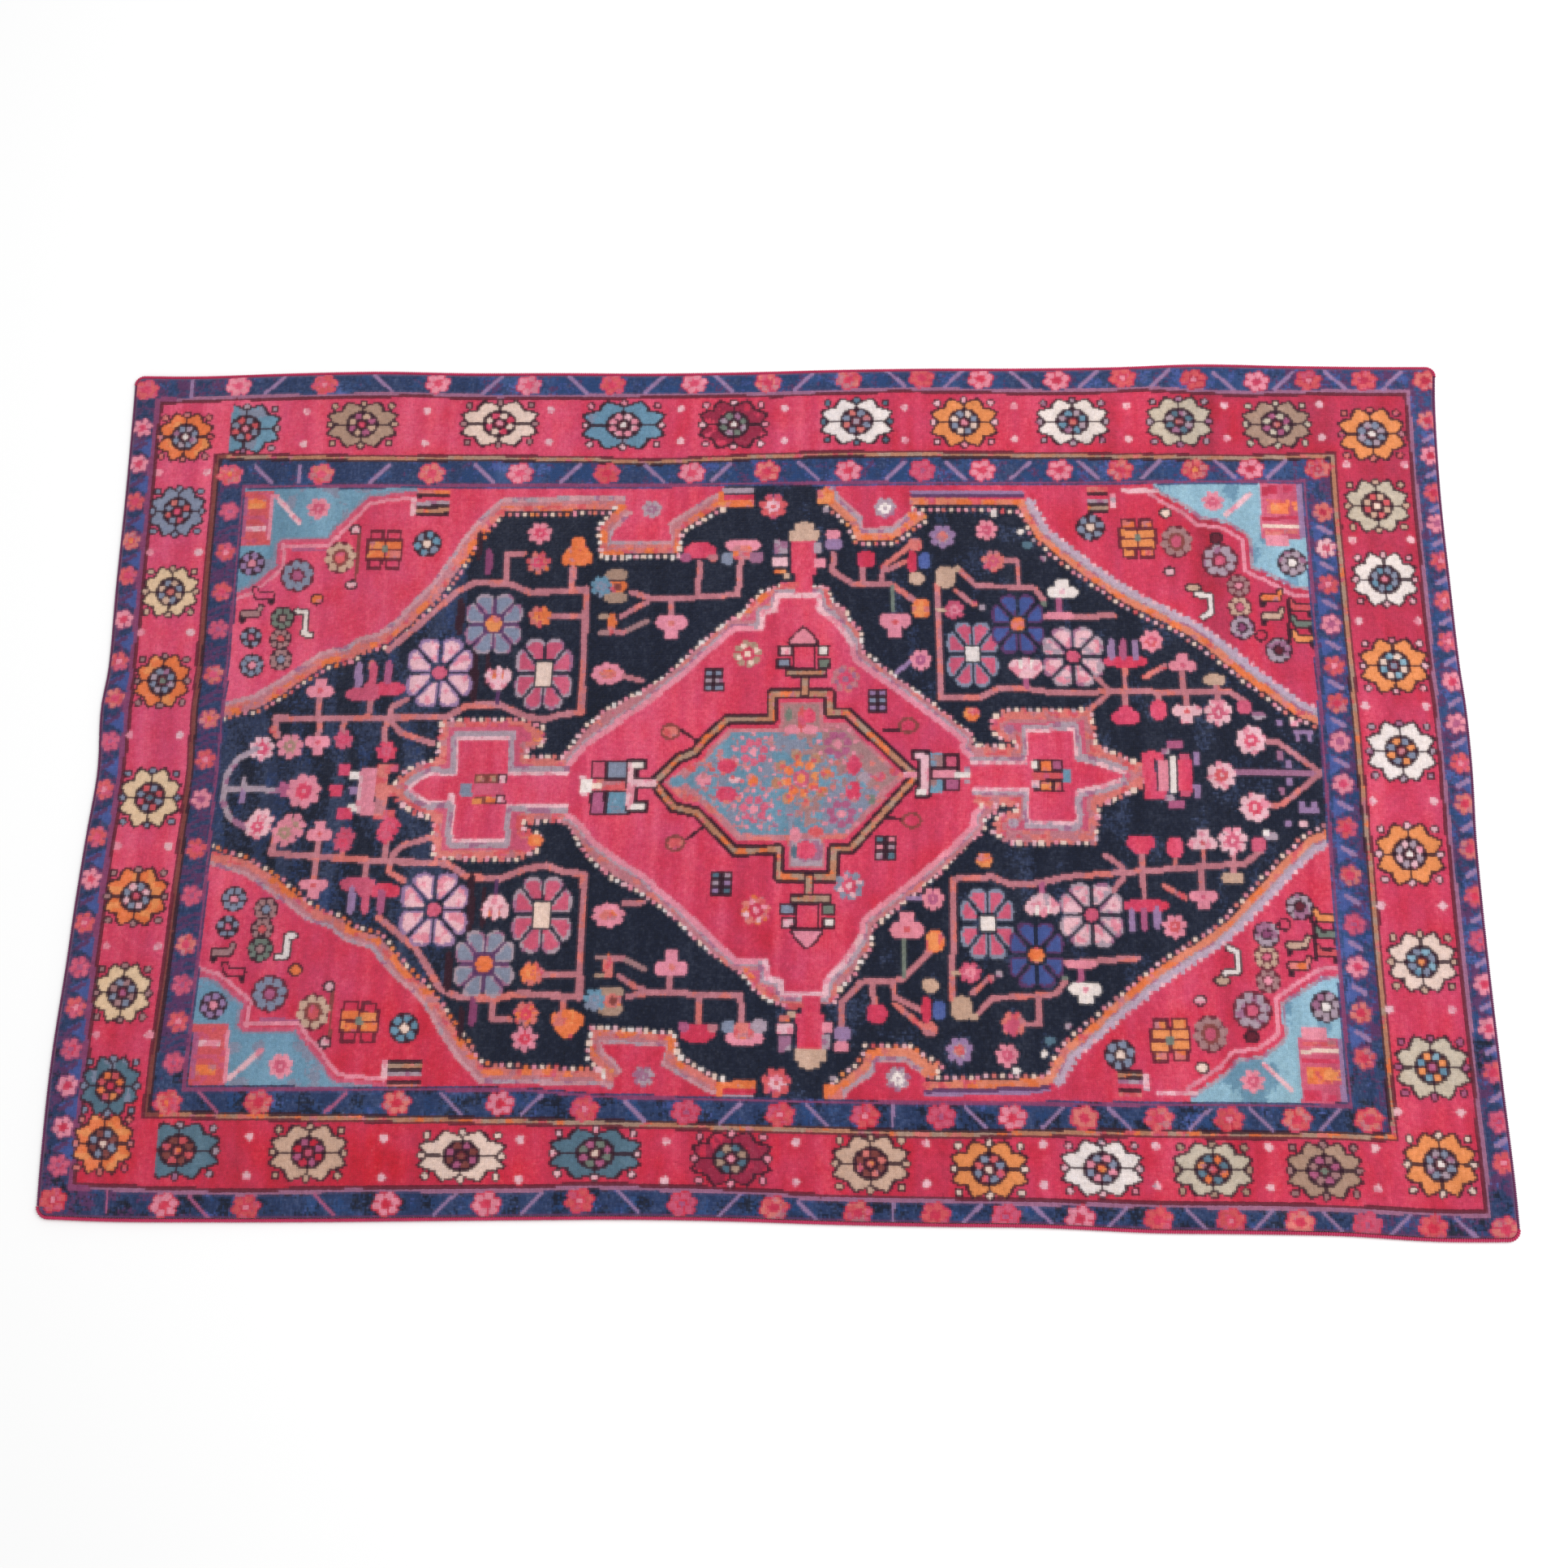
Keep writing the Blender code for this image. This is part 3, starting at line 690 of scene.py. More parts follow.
for half in BOTH:
    for (width, wool), paths in STEMS.items():
        for points in paths:
            line([planted(half, x, y) for x, y in points], width, wool)
    for wool, *places in BLOCKS:
        for x, y, w, h in places:
            blob(*planted(half, x, y), w, h, wool)
    if half == FAR_HALF:
        blob(-77.2, 6.6, 1, 1.4, "salmon")    # the first stem's bud
    rosette(half, -51.7, 15.8, 10.2, 11.2, "pale pink", "lilac", "rose", 2.2, 2.2)
    rosette(half, -43.6, 23.8, 8.8, 9.8, "slate", "grey lilac", "orange", 2.6, 2.6, "purple")
    rosette(half, -35.3, 15.6, 8.8, 11.4, "rose", "grey lilac", "cream", 2.3, 3.9)
    rosette(half, 31.2, 18.7, 7.8, 10.4, "rose", "slate", "white", 2.1, 2.3)
    rosette(half, 38.3, 23.6, 8, 9.6, "royal", "purple", "orange", 2.2, 2.2)
    rosette(half, 46.6, 18.3, 9.2, 9.4, "pale pink", "grey lilac", "rose", 2, 2)
    tulip(half, -42.4, 14.8, 4, 3.8, "pale pink", "salmon")
    tulip(half, 39.4, 16.4, 5, 3.4, "pale pink", "white")
    trefoil(half, 45.3, 29.3, 4.6, 3.6, "white", "pale pink")
    trefoil(half, -15.6, 23.4, 4.8, 4.4, "pink", "salmon", -1)
    trefoil(half, 19.3, 23.6, 4.8, 4.6, "pink", "coral", -1)
    trefoil(half, -70.3, 13.2, 4.2, 3.4, "pink", "coral")
    trefoil(half, -70, 4.2, 3.8, 3.4, "pink", "coral", -1)
    trefoil(half, 63.6, 9.2, 4.2, 3.4, "pale pink", "coral", -1)
    trefoil(half, 63.3, 17.2, 4, 3.2, "pink", "rose")
    round_flowers(half, (
        (-37, 39, 2, "pink", "crimson"), (-37, 34, 2, "salmon", "crimson"),
        (-36.4, 25, 1.9, "salmon", "orange"), (-26.9, 30, 1.8, "sky", "slate"),
        (-66, 4.9, 1.6, "rose", "crimson"), (-59.2, 3.1, 1.7, "crimson", "rose"),
        (-74.3, 3.9, 2.2, "pink", "khaki"), (-78.7, 3.6, 2.1, "pale pink", "crimson"),
        (0.1, 43.4, 2.3, "coral", "pale pink"), (26.8, 38.2, 2.1, "lilac", "grey lilac"),
        (33.7, 39.2, 1.8, "pink", "rose"), (34.7, 34, 1.9, "salmon", "rose"),
        (28.5, 26, 1.7, "rose", "pink"), (23.2, 17.8, 1.8, "pink", "mauve"),
        (58.7, 20.8, 1.9, "pink", "coral"), (68.3, 9.4, 2.3, "pale pink", "rose"),
        (-19.3, 43, 1.7, "grey lilac", "orchid"), (17.8, 43, 1.9, "grey lilac", "white"),
    ))
    x, y = at(half, -25.3, 15.6)
    petals(x, y, 1.9, "pink", 8, 0.68, 0.3, 1.35)
    oval(x, y, 1.3, 0.8, "salmon")
    oval(*at(half, 26.8, 38.2), 0.8, 0.8, "salmon")

# The stretch between the left pendant and the end, which runs across both halves.
blocks(FAR_HALF, (
    ("salmon", (-59.5, -3.2, 1.9, 8.6), (-57.6, -3.2, 3, 1.8)),
    ("coral", (-58.2, 0.3, 1.8, 1.2), (-58.2, -6.8, 1.8, 1.2)),
    ("grey lilac", (-79, -3, 10, 0.9), (-81, -1.9, 0.8, 2)), ("pink", (-61.6, -3.3, 2.2, 7.4)),
    ("pale pink", (-62.9, -3.3, 0.7, 6.6)), ("white", (-63.9, -0.8, 1.3, 1.2), (-63.9, -5.8, 1.3, 1.2)),
    ("crimson", (-65.5, 0.2, 2, 2), (-66.6, -3.2, 1.9, 1.9), (-65, -6.7, 2.2, 2)),
    ("lilac", (-63.9, -3.2, 1.3, 1.2), (-81, -4.2, 0.8, 2)), ("mauve", (-74.5, -3, 1.6, 2.2)),
))
line([(-79.5, 3.6), (-82.4, 1.8), (-84, -1), (-84, -5), (-82.6, -7.6), (-80, -9)], 0.9, "grey lilac")
round_flowers(FAR_HALF, [(-71.6, -3.2, 2.8, "pink", "crimson")], 8)
round_flowers(FAR_HALF, (
    (-78.3, -8.8, 2.1, "pale pink", "crimson"), (-74, -9.8, 2.2, "pink", "khaki"),
    (-64.9, -11.3, 1.6, "rose", "crimson"), (-58.4, -9.9, 1.6, "crimson", "rose"),
))

# The stretch between the right pendant and the end.
blocks(FAR_HALF, (
    ("orchid", (76.5, -0.1, 12.4, 0.9), (77.2, 2.6, 0.8, 1.4), (77.2, -2.9, 0.8, 1.4)),
    ("pale pink", (79.7, 7.7, 1, 0.9), (80, -7.9, 1, 0.9)),
    ("lilac", (78.4, 1.3, 0.8, 1.2), (78.4, -1.5, 0.8, 1.2), (77.5, 7.7, 1, 0.9), (77.8, -8, 1, 0.9),
     (81, 6.3, 3, 0.7), (81, -5.9, 3, 0.7), (80, 5.6, 0.7, 1.6), (81.8, 5.6, 0.7, 1.6),
     (80, -5.2, 0.7, 1.6), (81.8, -5.2, 0.7, 1.6)),
    ("crimson", (57.5, -0.5, 1.8, 7.2), (58.6, 2.6, 2.4, 1.2), (58.6, -3.6, 2.4, 1.2)),
    ("pink", (59.6, -0.5, 1.5, 5)), ("white", (61.1, -0.3, 0.9, 5.6), (74.5, -9.3, 1, 1)),
    ("grey lilac", (60, 3.3, 1.3, 1), (60.3, -3.9, 1.3, 1)),
    ("mauve", (61.6, 4.3, 2.4, 1.2), (61.4, -5, 2.4, 1.2)), ("crimson", (62.8, -0.5, 2.2, 5)),
    ("rose", (62.8, 2.4, 1.4, 1), (62.8, -3.3, 1.4, 1)),
    ("lilac", (64.6, 2.2, 1, 2.2), (64.5, -3, 1, 2.2)),
))
line([(83, 0), (77, 4.7), (75, 4.9)], 0.8, "stem pink")
line([(83, -0.2), (77, -5), (75, -5.2)], 0.8, "stem pink")
round_flowers(FAR_HALF, (
    (68.3, -0.5, 2.3, "pale pink", "coral"), (73, 5, 2.4, "pale pink", "crimson"),
    (73, -5.4, 2.4, "pale pink", "crimson"),
), 8)


# ---- Figures of the four crimson corners ----------------------------------------------------------
# Each corner has a light-blue step at its tip, a gold square, a ringed medallion, small birds and
# stars, and a striped box by the guard, all tied on the crimson ground in dark-edged shapes.

def edged_oval(half, x, y, w, h, wool, rim="dark"):
    x, y = at(half, x, y)
    oval(x, y, w / 2 + 0.35, h / 2 + 0.35, rim)
    oval(x, y, w / 2, h / 2, wool)


def gold_square(half, x, y, middle, outside):
    """Four gold cells and four smaller ones above and below them, all dark-edged."""
    cells = [(side * 1.4, up * row, w, h, wool) for side in (-1, 1) for up in (-1, 1)
             for row, w, h, wool in ((0.85, 2.4, 1.2, middle), (2.4, 1.6, 1.1, outside))]
    for grown, colour in ((0.8, "maroon"), (0, None)):
        for dx, dy, w, h, wool in cells:
            block(*at(half, x + dx, y + dy), w + grown, h + grown, colour or wool)
    block(*at(half, x, y), 1, 1.2, "grey green")


def striped_box(half, x, y, w):
    for k, wool in enumerate(("dark", "gold", "dark", "grey lilac", "crimson", "dark", "salmon")):
        block(*at(half, x, y + 0.62 * k), w, 0.66, wool)


LEFT_TIP = [(-87, 48), (-87, 29.4), (-85.5, 29.2), (-83, 30), (-81, 32), (-79, 33.6), (-79.3, 37.3),
            (-78.5, 38), (-71, 38), (-69.8, 40), (-65, 45.4), (-57.6, 46.2), (-57.6, 48)]
RIGHT_TIP = [(60, 48), (60, 46), (65, 43), (67, 41), (71, 40.4), (74, 38.4), (74.6, 37.5),
             (74.4, 33), (78, 31), (81, 29.4), (86, 29), (86, 48)]
for half in BOTH:
    area(path(half, LEFT_TIP), "sky", BLOCK)
    area(path(half, RIGHT_TIP), "light sky", BLOCK)
    bands(half, LEFT_TIP[1:-1], [(0.3, 0.5, "slate"), (-0.3, 0.6, "rose"), (-1.1, 0.6, "pink")])
    bands(half, RIGHT_TIP[1:-1], [(0.2, 0.5, "grey lilac"), (-1.1, 0.6, "pink")])
    blocks(half, (
        ("coral", (-83.1, 41.8, 5.6, 9.2)), ("brown", (-66.1, 35.2, 0.5, 8.6)),
        ("pale pink", (-57.6, 43.6, 0.8, 2.8), (53.6, 44.1, 0.8, 2.4), (58, 45.8, 6, 0.7)),
        ("orange", (-83.3, 44.2, 3.4, 1.7)), ("pink", (-80.6, 42, 0.6, 7.6)),
        ("pale pink", (-83.3, 40, 4.2, 0.8)), ("mauve", (-84.9, 42, 0.7, 7), (-73.5, 36.3, 6.4, 0.5)),
        ("rose", (-83.4, 42, 3.6, 0.6), (79.5, 42.4, 5.8, 9.6)),
        ("crimson", (79.6, 41, 5.6, 0.6), (78.2, 45.7, 2.2, 1.5), (81, 46, 1.4, 1.1)),
        ("orange", (79.5, 42.9, 3.6, 2.4), (82, 43, 1.2, 1.5)), ("pink", (79, 37.2, 3.6, 1.8)),
        ("cream", (79.6, 39.7, 5.6, 0.6)), ("salmon", (79.6, 38.7, 5, 0.8)),
        ("lilac", (82.9, 42.4, 0.9, 9.6)),
    ))
    gold_square(half, -61.8, 36.3, "orange", "crimson")
    gold_square(half, 57.3, 37.7, "amber", "orange")
    striped_box(half, -54.5, 42.4, 5.2)
    striped_box(half, 51.3, 42.3, 3.4)
    line(path(half, [(-80, 45.5), (-76, 41)]), 0.8, "pale pink")
    line(path(half, [(71.2, 41.6), (75, 45)]), 0.8, "pale pink")
    round_flowers(half, [(-73, 43.4, 2, "pink", "rose"), (69.3, 43.9, 1.8, "pink", "rose")])
    for x, y, r, petal, heart, rim, count in (
        (-55, 37.3, 2.3, "sky", "cream", "dark", 6), (50, 39.6, 2.3, "slate", "cream", "dark", 6),
        (-83, 34, 2.1, "lilac", "pink", "dark", 6), (81, 33.6, 2.3, "grey lilac", "white", "dark", 7),
        (-75.5, 32, 2.8, "slate", "mauve", "maroon", 8),
        (69.8, 34, 2.9, "grey lilac", "rose", "maroon", 8), (-81.5, 17, 2, "slate", "pink", "dark", 7),
        (-77, 18, 1.9, "taupe", "slate", "dark", 7), (78, 19.3, 2.1, "grey lilac", "maroon", "dark", 8),
        (-77.3, 21.4, 1.8, "taupe", "coral", "dark", 7),
        (-77.3, 24.8, 2, "grey green", "taupe", "dark", 7), (-82, 21.6, 1.8, "slate", "rose", "dark", 5),
        (72.5, 29.8, 1.9, "taupe", "pink", "maroon", 7), (72.5, 26.3, 1.9, "beige", "rose", "maroon", 7),
        (72.7, 23, 2, "grey lilac", "plum", "dark", 8),
    ):
        x, y = at(half, x, y)
        oval(x, y, r, r, rim)
        petals(x, y, r, petal, count, 0.66, 0.25)
        oval(x, y, 0.28 * r, 0.28 * r, heart)
    for x, y, ring, heart in ((-68.8, 35, "beige", "coral"), (63.3, 37.2, "taupe", "rose")):
        edged_oval(half, x, y, 4, 4.8, "maroon", "maroon")
        x, y = at(half, x, y)
        petals(x, y, 2.5, ring, 8, 0.75, 0.27)
        oval(x, y, 1.3, 1.5, "brown")
        oval(x, y, 0.8, 1, heart)
    for x, y, w, h, wool in (
        (-66.7, 39.7, 1.4, 1.2, "pale pink"), (-66.7, 30.4, 1.4, 1, "pale pink"),
        (61.8, 42, 1.4, 1.2, "cream"), (62, 32.2, 1.4, 1, "pale pink"), (-72, 28, 1.6, 1.4, "salmon"),
        (69.5, 37.7, 1.6, 1.4, "maroon"), (65.5, 29.5, 2, 1, "beige"), (75.5, 21.7, 1.3, 1.4, "crimson"),
    ):
        edged_oval(half, x, y, w, h, wool)
    # Small birds and beasts: a body, a raised neck and short legs, in dark-edged wool.
    for x, y, wool, turned in (
        (-82.4, 25.6, "taupe", 1), (77.4, 27.8, "orange", 1), (81.8, 26.2, "coral", -1),
        (77.4, 24.8, "beige", 1), (82, 21.2, "amber", -1), (-80.6, 28.6, "crimson", -1),
        (82, 23.6, "grey green", -1),
    ):
        x, y = at(half, x, y)
        tail, chest, head = (x - 1.2 * turned, y), (x + 1 * turned, y), x + 1.5 * turned
        line([tail, chest], 1.5, "dark")
        line([chest, (head, y + 1.1)], 1.2, "dark")
        line([tail, (x - 1.3 * turned, y - 1.2)], 1, "dark")
        line([tail, chest], 0.8, wool)
        line([chest, (head, y + 1)], 0.6, wool)
    line(path(half, [(80, 27), (79.8, 20.6)]), 0.6, "dark")
    for hook in ([(-75, 26), (-73.6, 25.8), (-73.6, 22.2), (-72.6, 22)],
                 [(66, 28.4), (68, 28.2), (68, 25.4), (66.8, 24.7)]):
        line(path(half, hook), 1.3, "dark")
        line(path(half, hook), 0.7, "white")


# ---- Guards and main border -----------------------------------------------------------------------
# Two blue guard stripes with small flowers stand on both sides of the wide crimson border. Thin
# lines of pink, gold and near-black wool part them, and they wander as the loom's tension changed.

# Where the three parting lines run, in centimetres: between the outer guard and the border, between
# the border and the inner guard, and between the inner guard and the field.
TOP_LINES = np.array([
    # along, outer, border, field
    (-100, 62.5, 52.4, 47.2), (-88, 63.1, 52.4, 47.2), (-75, 63.2, 52.2, 47.2), (-60, 63.5, 52, 47.2),
    (-45, 62.8, 51.9, 47.2), (-30, 62.8, 51.6, 47.1), (-20, 62.9, 51, 47), (0, 63, 52, 47.3),
    (10, 63.3, 52.3, 47.3), (20, 63.7, 52.2, 47.3), (45, 63, 51.8, 47.2), (60, 63.5, 51.5, 47.2),
    (75, 62.5, 51.2, 47.2), (88, 62.7, 51.5, 47.2), (100, 62.5, 51.5, 47.2),
])
BOTTOM_LINES = np.array([
    # along, outer, border, field
    (-100, -62.5, -52, -48.3), (-88, -63, -52, -48.3), (-75, -63.2, -52.2, -48.2),
    (-60, -62.5, -52.3, -48.1), (-35, -62.3, -52.5, -48), (-25, -61.6, -52.6, -48.8),
    (0, -62.3, -53.2, -49.2), (8, -63, -53.4, -49.3), (25, -63.1, -53.8, -49.3),
    (45, -63.3, -53.3, -49.3), (60, -63.4, -53.4, -49.3), (75, -63.5, -53.4, -49.2),
    (101, -64.2, -53.6, -49.2),
])
LEFT_LINES = np.array([
    # across, outer, border, field
    (-60, -101, -91, -85.7), (-50, -101, -91, -85.7), (-25, -101.3, -90, -85.5),
    (0, -100.5, -89.7, -85.4), (25, -100.6, -89.9, -85.4), (50, -101, -90.2, -85.5),
])
RIGHT_LINES = np.array([
    # across, outer, border, field
    (-60, 102.2, 89.9, 84), (-45, 102, 89.7, 83.9), (-20, 101.6, 89.5, 83.8), (0, 101.3, 89, 83.7),
    (20, 101.1, 88.7, 83.7), (48, 101, 88.3, 83.7),
])
OUTER, BORDER, FIELD = 1, 2, 3


def follow(table, which, at):
    """Where a parting line runs, at one place or many along its side."""
    return np.interp(at, table[:, 0], table[:, which])


def inside_line(which):
    """Centimetres from each knot to one parting line, more than 0 on its inner side."""
    return np.minimum(
        np.minimum(follow(TOP_LINES, which, knot_x) - knot_y,
                   knot_y - follow(BOTTOM_LINES, which, knot_x)),
        np.minimum(knot_x - follow(LEFT_LINES, which, knot_y),
                   follow(RIGHT_LINES, which, knot_y) - knot_x),
    )


WHOLE_RUG = slice(None)
END_OF_FIELD = 0.4         # cm inside the field's line, where the guards' ground stops
outer = inside_line(OUTER)
border = inside_line(BORDER)
field = inside_line(FIELD)
edge_depth = np.minimum(
    np.minimum(columns, 1 - columns) * COLUMNS * KNOT,
    np.minimum(rows, 1 - rows) * ROWS * KNOT,
)
to_field = field < END_OF_FIELD
# The left end has darker wools, past the lines of its field, its border and its outer guard.
past_field, past_border, past_outer = knot_x < -85, knot_x < -89, knot_x < -98
for depth, start, stop, where, wool in (
    (field, -99, 99, True, "guard blue"),
    (field, -99, 99, past_field & (np.abs(knot_y) < 60), "deep blue"),
    (edge_depth, 0, 0.4, True, "purple"), (outer, -0.3, 0.2, True, "orchid"),
    (outer, -0.6, 0.35, past_outer, "plum"), (outer, 0.2, 0.75, True, "maroon"),
    (outer, 0.75, 99, True, "crimson"), (border, -0.7, -0.3, True, "maroon"),
    (border, -0.3, 0.2, True, "gold"), (border, -0.3, 0.2, past_border, "brown"),
    (border, 0.2, 0.6, True, "dark"), (border, 0.6, 99, True, "guard blue"),
    (border, 0.6, 99, past_field, "deep blue"), (field, -0.3, 0.15, True, "plum"),
):
    tie(WHOLE_RUG, (depth >= start) & (depth < stop) & to_field & where, wool)


GUARD_PETALS = {
    # body: petals, heart
    "pink": ("pink", "crimson"),
    "pale pink": ("pale pink", "rose"),
    "crimson": ("coral", "crimson"),
    "orange": ("salmon", "orange"),
    "salmon": ("salmon", "crimson"),
    "coral": ("coral", "pink"),
    "rose": ("rose", "mauve"),
    "lilac": ("pink", "mauve"),
}


def guard_flower(x, y, wool, r=1.8, rim="crimson", wide=1.18):
    """A small flower of six petals round a heart, with a rim of darker wool."""
    light, heart = GUARD_PETALS[wool]
    if wool == "lilac":
        rim = "plum"
    petals(x, y, r, rim, 6, 0.62, 0.43, wide)
    oval(x, y, 0.8 * wide, 0.75, "crimson" if wool != "lilac" else "mauve")
    petals(x, y, r, light, 6, 0.64, 0.3, wide)
    oval(x, y, 0.45, 0.42, heart)


LEANS = {"/": 1.5, "\\": -1.5, "|": 0}    # cm, how far a leaf leans to the right on its upper half


def guard_leaf(x, y, lean):
    """The slanting lilac leaf between two flowers."""
    ends = [(x - LEANS[lean], y - 1.45), (x + LEANS[lean], y + 1.45)]
    line(ends, 0.6 if y > 0 else 0.45, "lilac" if y > 0 or x > -50 else "mauve")


# Flowers and leaves of the four long guard runs: how far along, then wool or lean.
TOP_OUTER_GUARD = [
    (-103.3, "crimson"), (-95.7, "|"), (-88, "pink"), (-82, "/"), (-73.7, "coral"), (-64, "\\"),
    (-55, "pink"), (-46, "/"), (-40, "pink"), (-32, "\\"), (-26.3, "crimson"), (-19.5, "/"),
    (-13, "pink"), (-8.3, "\\"), (-1, "salmon"), (4.7, "/"), (12, "salmon"), (19.5, "\\"),
    (23.8, "crimson"), (29, "/"), (33.3, "pink"), (39.7, "\\"), (45.5, "pink"), (50.5, "/"),
    (56, "coral"), (62, "/"), (67.3, "coral"), (72, "\\"), (77.3, "pink"), (81.5, "/"), (85.5, "coral"),
    (89.7, "\\"), (94.3, "crimson"), (98.7, "/"), (104, "salmon"),
]
TOP_INNER_GUARD = [
    (-88, "orange"), (-82.4, "\\"), (-76.7, "|"), (-73, "salmon"), (-63.5, "/"), (-55, "salmon"),
    (-46.5, "\\"), (-40.7, "pink"), (-32.5, "/"), (-26.7, "crimson"), (-19, "\\"), (-13, "pink"),
    (-8.3, "/"), (-1, "salmon"), (5.7, "\\"), (12, "pink"), (19.5, "/"), (23.8, "rose"), (29, "\\"),
    (33.3, "pink"), (39.3, "/"), (45.5, "pink"), (50, "\\"), (55, "salmon"), (59.8, "/"),
    (66.8, "orange"), (71.5, "\\"), (75.5, "pink"), (79.5, "/"), (86, "orange"),
]
BOTTOM_OUTER_GUARD = [
    (-103.5, "coral"), (-95.5, "|"), (-87, "pink"), (-82, "\\"), (-75, "coral"), (-63.7, "\\"),
    (-54.5, "pink"), (-46, "/"), (-40, "pink"), (-33.5, "/"), (-26.5, "coral"), (-19.5, "\\"),
    (-11.7, "rose"), (-5, "/"), (1.5, "salmon"), (6.3, "\\"), (13.5, "salmon"), (18.5, "|"),
    (24.5, "crimson"), (29.5, "/"), (34.5, "rose"), (40, "\\"), (45, "pink"), (50, "/"), (56, "crimson"),
    (61.5, "\\"), (66.2, "coral"), (70.5, "/"), (75.8, "salmon"), (80.7, "\\"), (85.2, "rose"),
    (89.7, "/"), (94.3, "crimson"), (99, "\\"), (104.3, "salmon"),
]
BOTTOM_INNER_GUARD = [
    (-88, "orange"), (-82, "\\"), (-74.5, "salmon"), (-63, "/"), (-54, "salmon"), (-46, "\\"),
    (-38.7, "pink"), (-34, "/"), (-26.3, "coral"), (-19, "\\"), (-11.5, "rose"), (-5, "/"),
    (2.2, "coral"), (7.5, "\\"), (14.5, "coral"), (18.5, "|"), (25.5, "rose"), (30.4, "\\"),
    (35.7, "pink"), (41.4, "/"), (46, "salmon"), (51, "\\"), (56.7, "salmon"), (62.5, "/"),
    (66.7, "coral"), (71.2, "\\"), (76.3, "salmon"), (81, "/"), (86.5, "salmon"),
]


def guard_run(figures, table, which, out):
    """Flowers and leaves along one parting line, out centimetres beyond it."""
    for along, kind in figures:
        y = float(follow(table, which, along)) + out
        if kind in LEANS:
            guard_leaf(along, y, kind)
        else:
            guard_flower(along, y, kind)


guard_run(TOP_OUTER_GUARD, TOP_LINES, OUTER, 1.95)
guard_run(TOP_INNER_GUARD, TOP_LINES, FIELD, 2.15)
guard_run(BOTTOM_OUTER_GUARD, BOTTOM_LINES, OUTER, -1.9)
guard_run(BOTTOM_INNER_GUARD, BOTTOM_LINES, FIELD, -2)

# On the two ends the guard's flowers stand close, with one lilac dash between each pair.
LEFT_OUTER_GUARD = [
    (57.7, "pink"), (51.3, "pink"), (44.7, "crimson"), (38, "orange"), (32, "crimson"), (24.7, "pink"),
    (17.7, "coral"), (11.7, "salmon"), (4.7, "rose"), (-3, "coral"), (-10.5, "crimson"), (-17, "pink"),
    (-23.8, "coral"), (-30.5, "rose"), (-36.5, "coral"), (-42.7, "rose"), (-48, "pink"), (-54, "pink"),
    (-59.5, "rose"),
]
LEFT_INNER_GUARD = [
    (43, "rose"), (36, "coral"), (29.3, "crimson"), (23, "rose"), (15.5, "salmon"), (8.3, "orange"),
    (1.8, "coral"), (-4.5, "lilac"), (-12.3, "crimson"), (-19.5, "rose"), (-27, "salmon"), (-33, "rose"),
    (-38.5, "coral"), (-44.5, "rose"),
]
RIGHT_INNER_GUARD = [
    (42, "salmon"), (36, "pale pink"), (30, "coral"), (23.5, "lilac"), (16.8, "coral"), (10.8, "salmon"),
    (4.8, "lilac"), (-1.8, "pink"), (-8.5, "crimson"), (-15.7, "salmon"), (-23, "rose"), (-29.3, "pink"),
    (-36, "salmon"), (-42.5, "salmon"),
]
RIGHT_OUTER_GUARD = [
    (57.5, "salmon"), (51.5, "pink"), (45.2, "crimson"), (40, "lilac"), (33.8, "coral"), (27.3, "coral"),
    (20.7, "coral"), (14.3, "pink"), (7.7, "lilac"), (1.5, "coral"), (-4.8, "salmon"), (-11.7, "salmon"),
    (-18.8, "crimson"), (-25.3, "rose"), (-31.7, "pink"), (-38, "pink"), (-44.3, "crimson"),
    (-51.3, "rose"), (-57, "coral"),
]


def end_guard_run(figures, table, which, out, lean, leaf):
    """Flowers along an end's parting line, with a leaf or a pair of leaves between each two."""
    before = None
    for across, wool in figures:
        x = float(follow(table, which, across)) + out
        guard_flower(x, across, wool, 1.7, "plum", 1)
        if before is not None:
            middle = (across + before) / 2
            if table is RIGHT_LINES or which == OUTER:
                area([(x + 1.8 * lean, middle - 2), (x + 1.8 * lean, middle + 1.4),
                      (x - 1.2 * lean, middle)], "royal")
                line([(x - 0.8, middle - 0.5 * lean), (x + 0.8, middle + 0.5 * lean)], 0.7, leaf)
            else:
                for up in (-0.6, 0.6):
                    line([(x - 1.7, middle + up - 0.9), (x + 0.6, middle + up + 0.2),
                          (x + 1.7, middle + up + 0.3)], 0.5, leaf)
        before = across


end_guard_run(LEFT_OUTER_GUARD, LEFT_LINES, OUTER, -2.2, 1, "purple")
end_guard_run(LEFT_INNER_GUARD, LEFT_LINES, FIELD, -2, -1, "purple")
end_guard_run(RIGHT_INNER_GUARD, RIGHT_LINES, FIELD, 2.6, -1, "lilac")
end_guard_run(RIGHT_OUTER_GUARD, RIGHT_LINES, OUTER, 2.7, 1, "lilac")


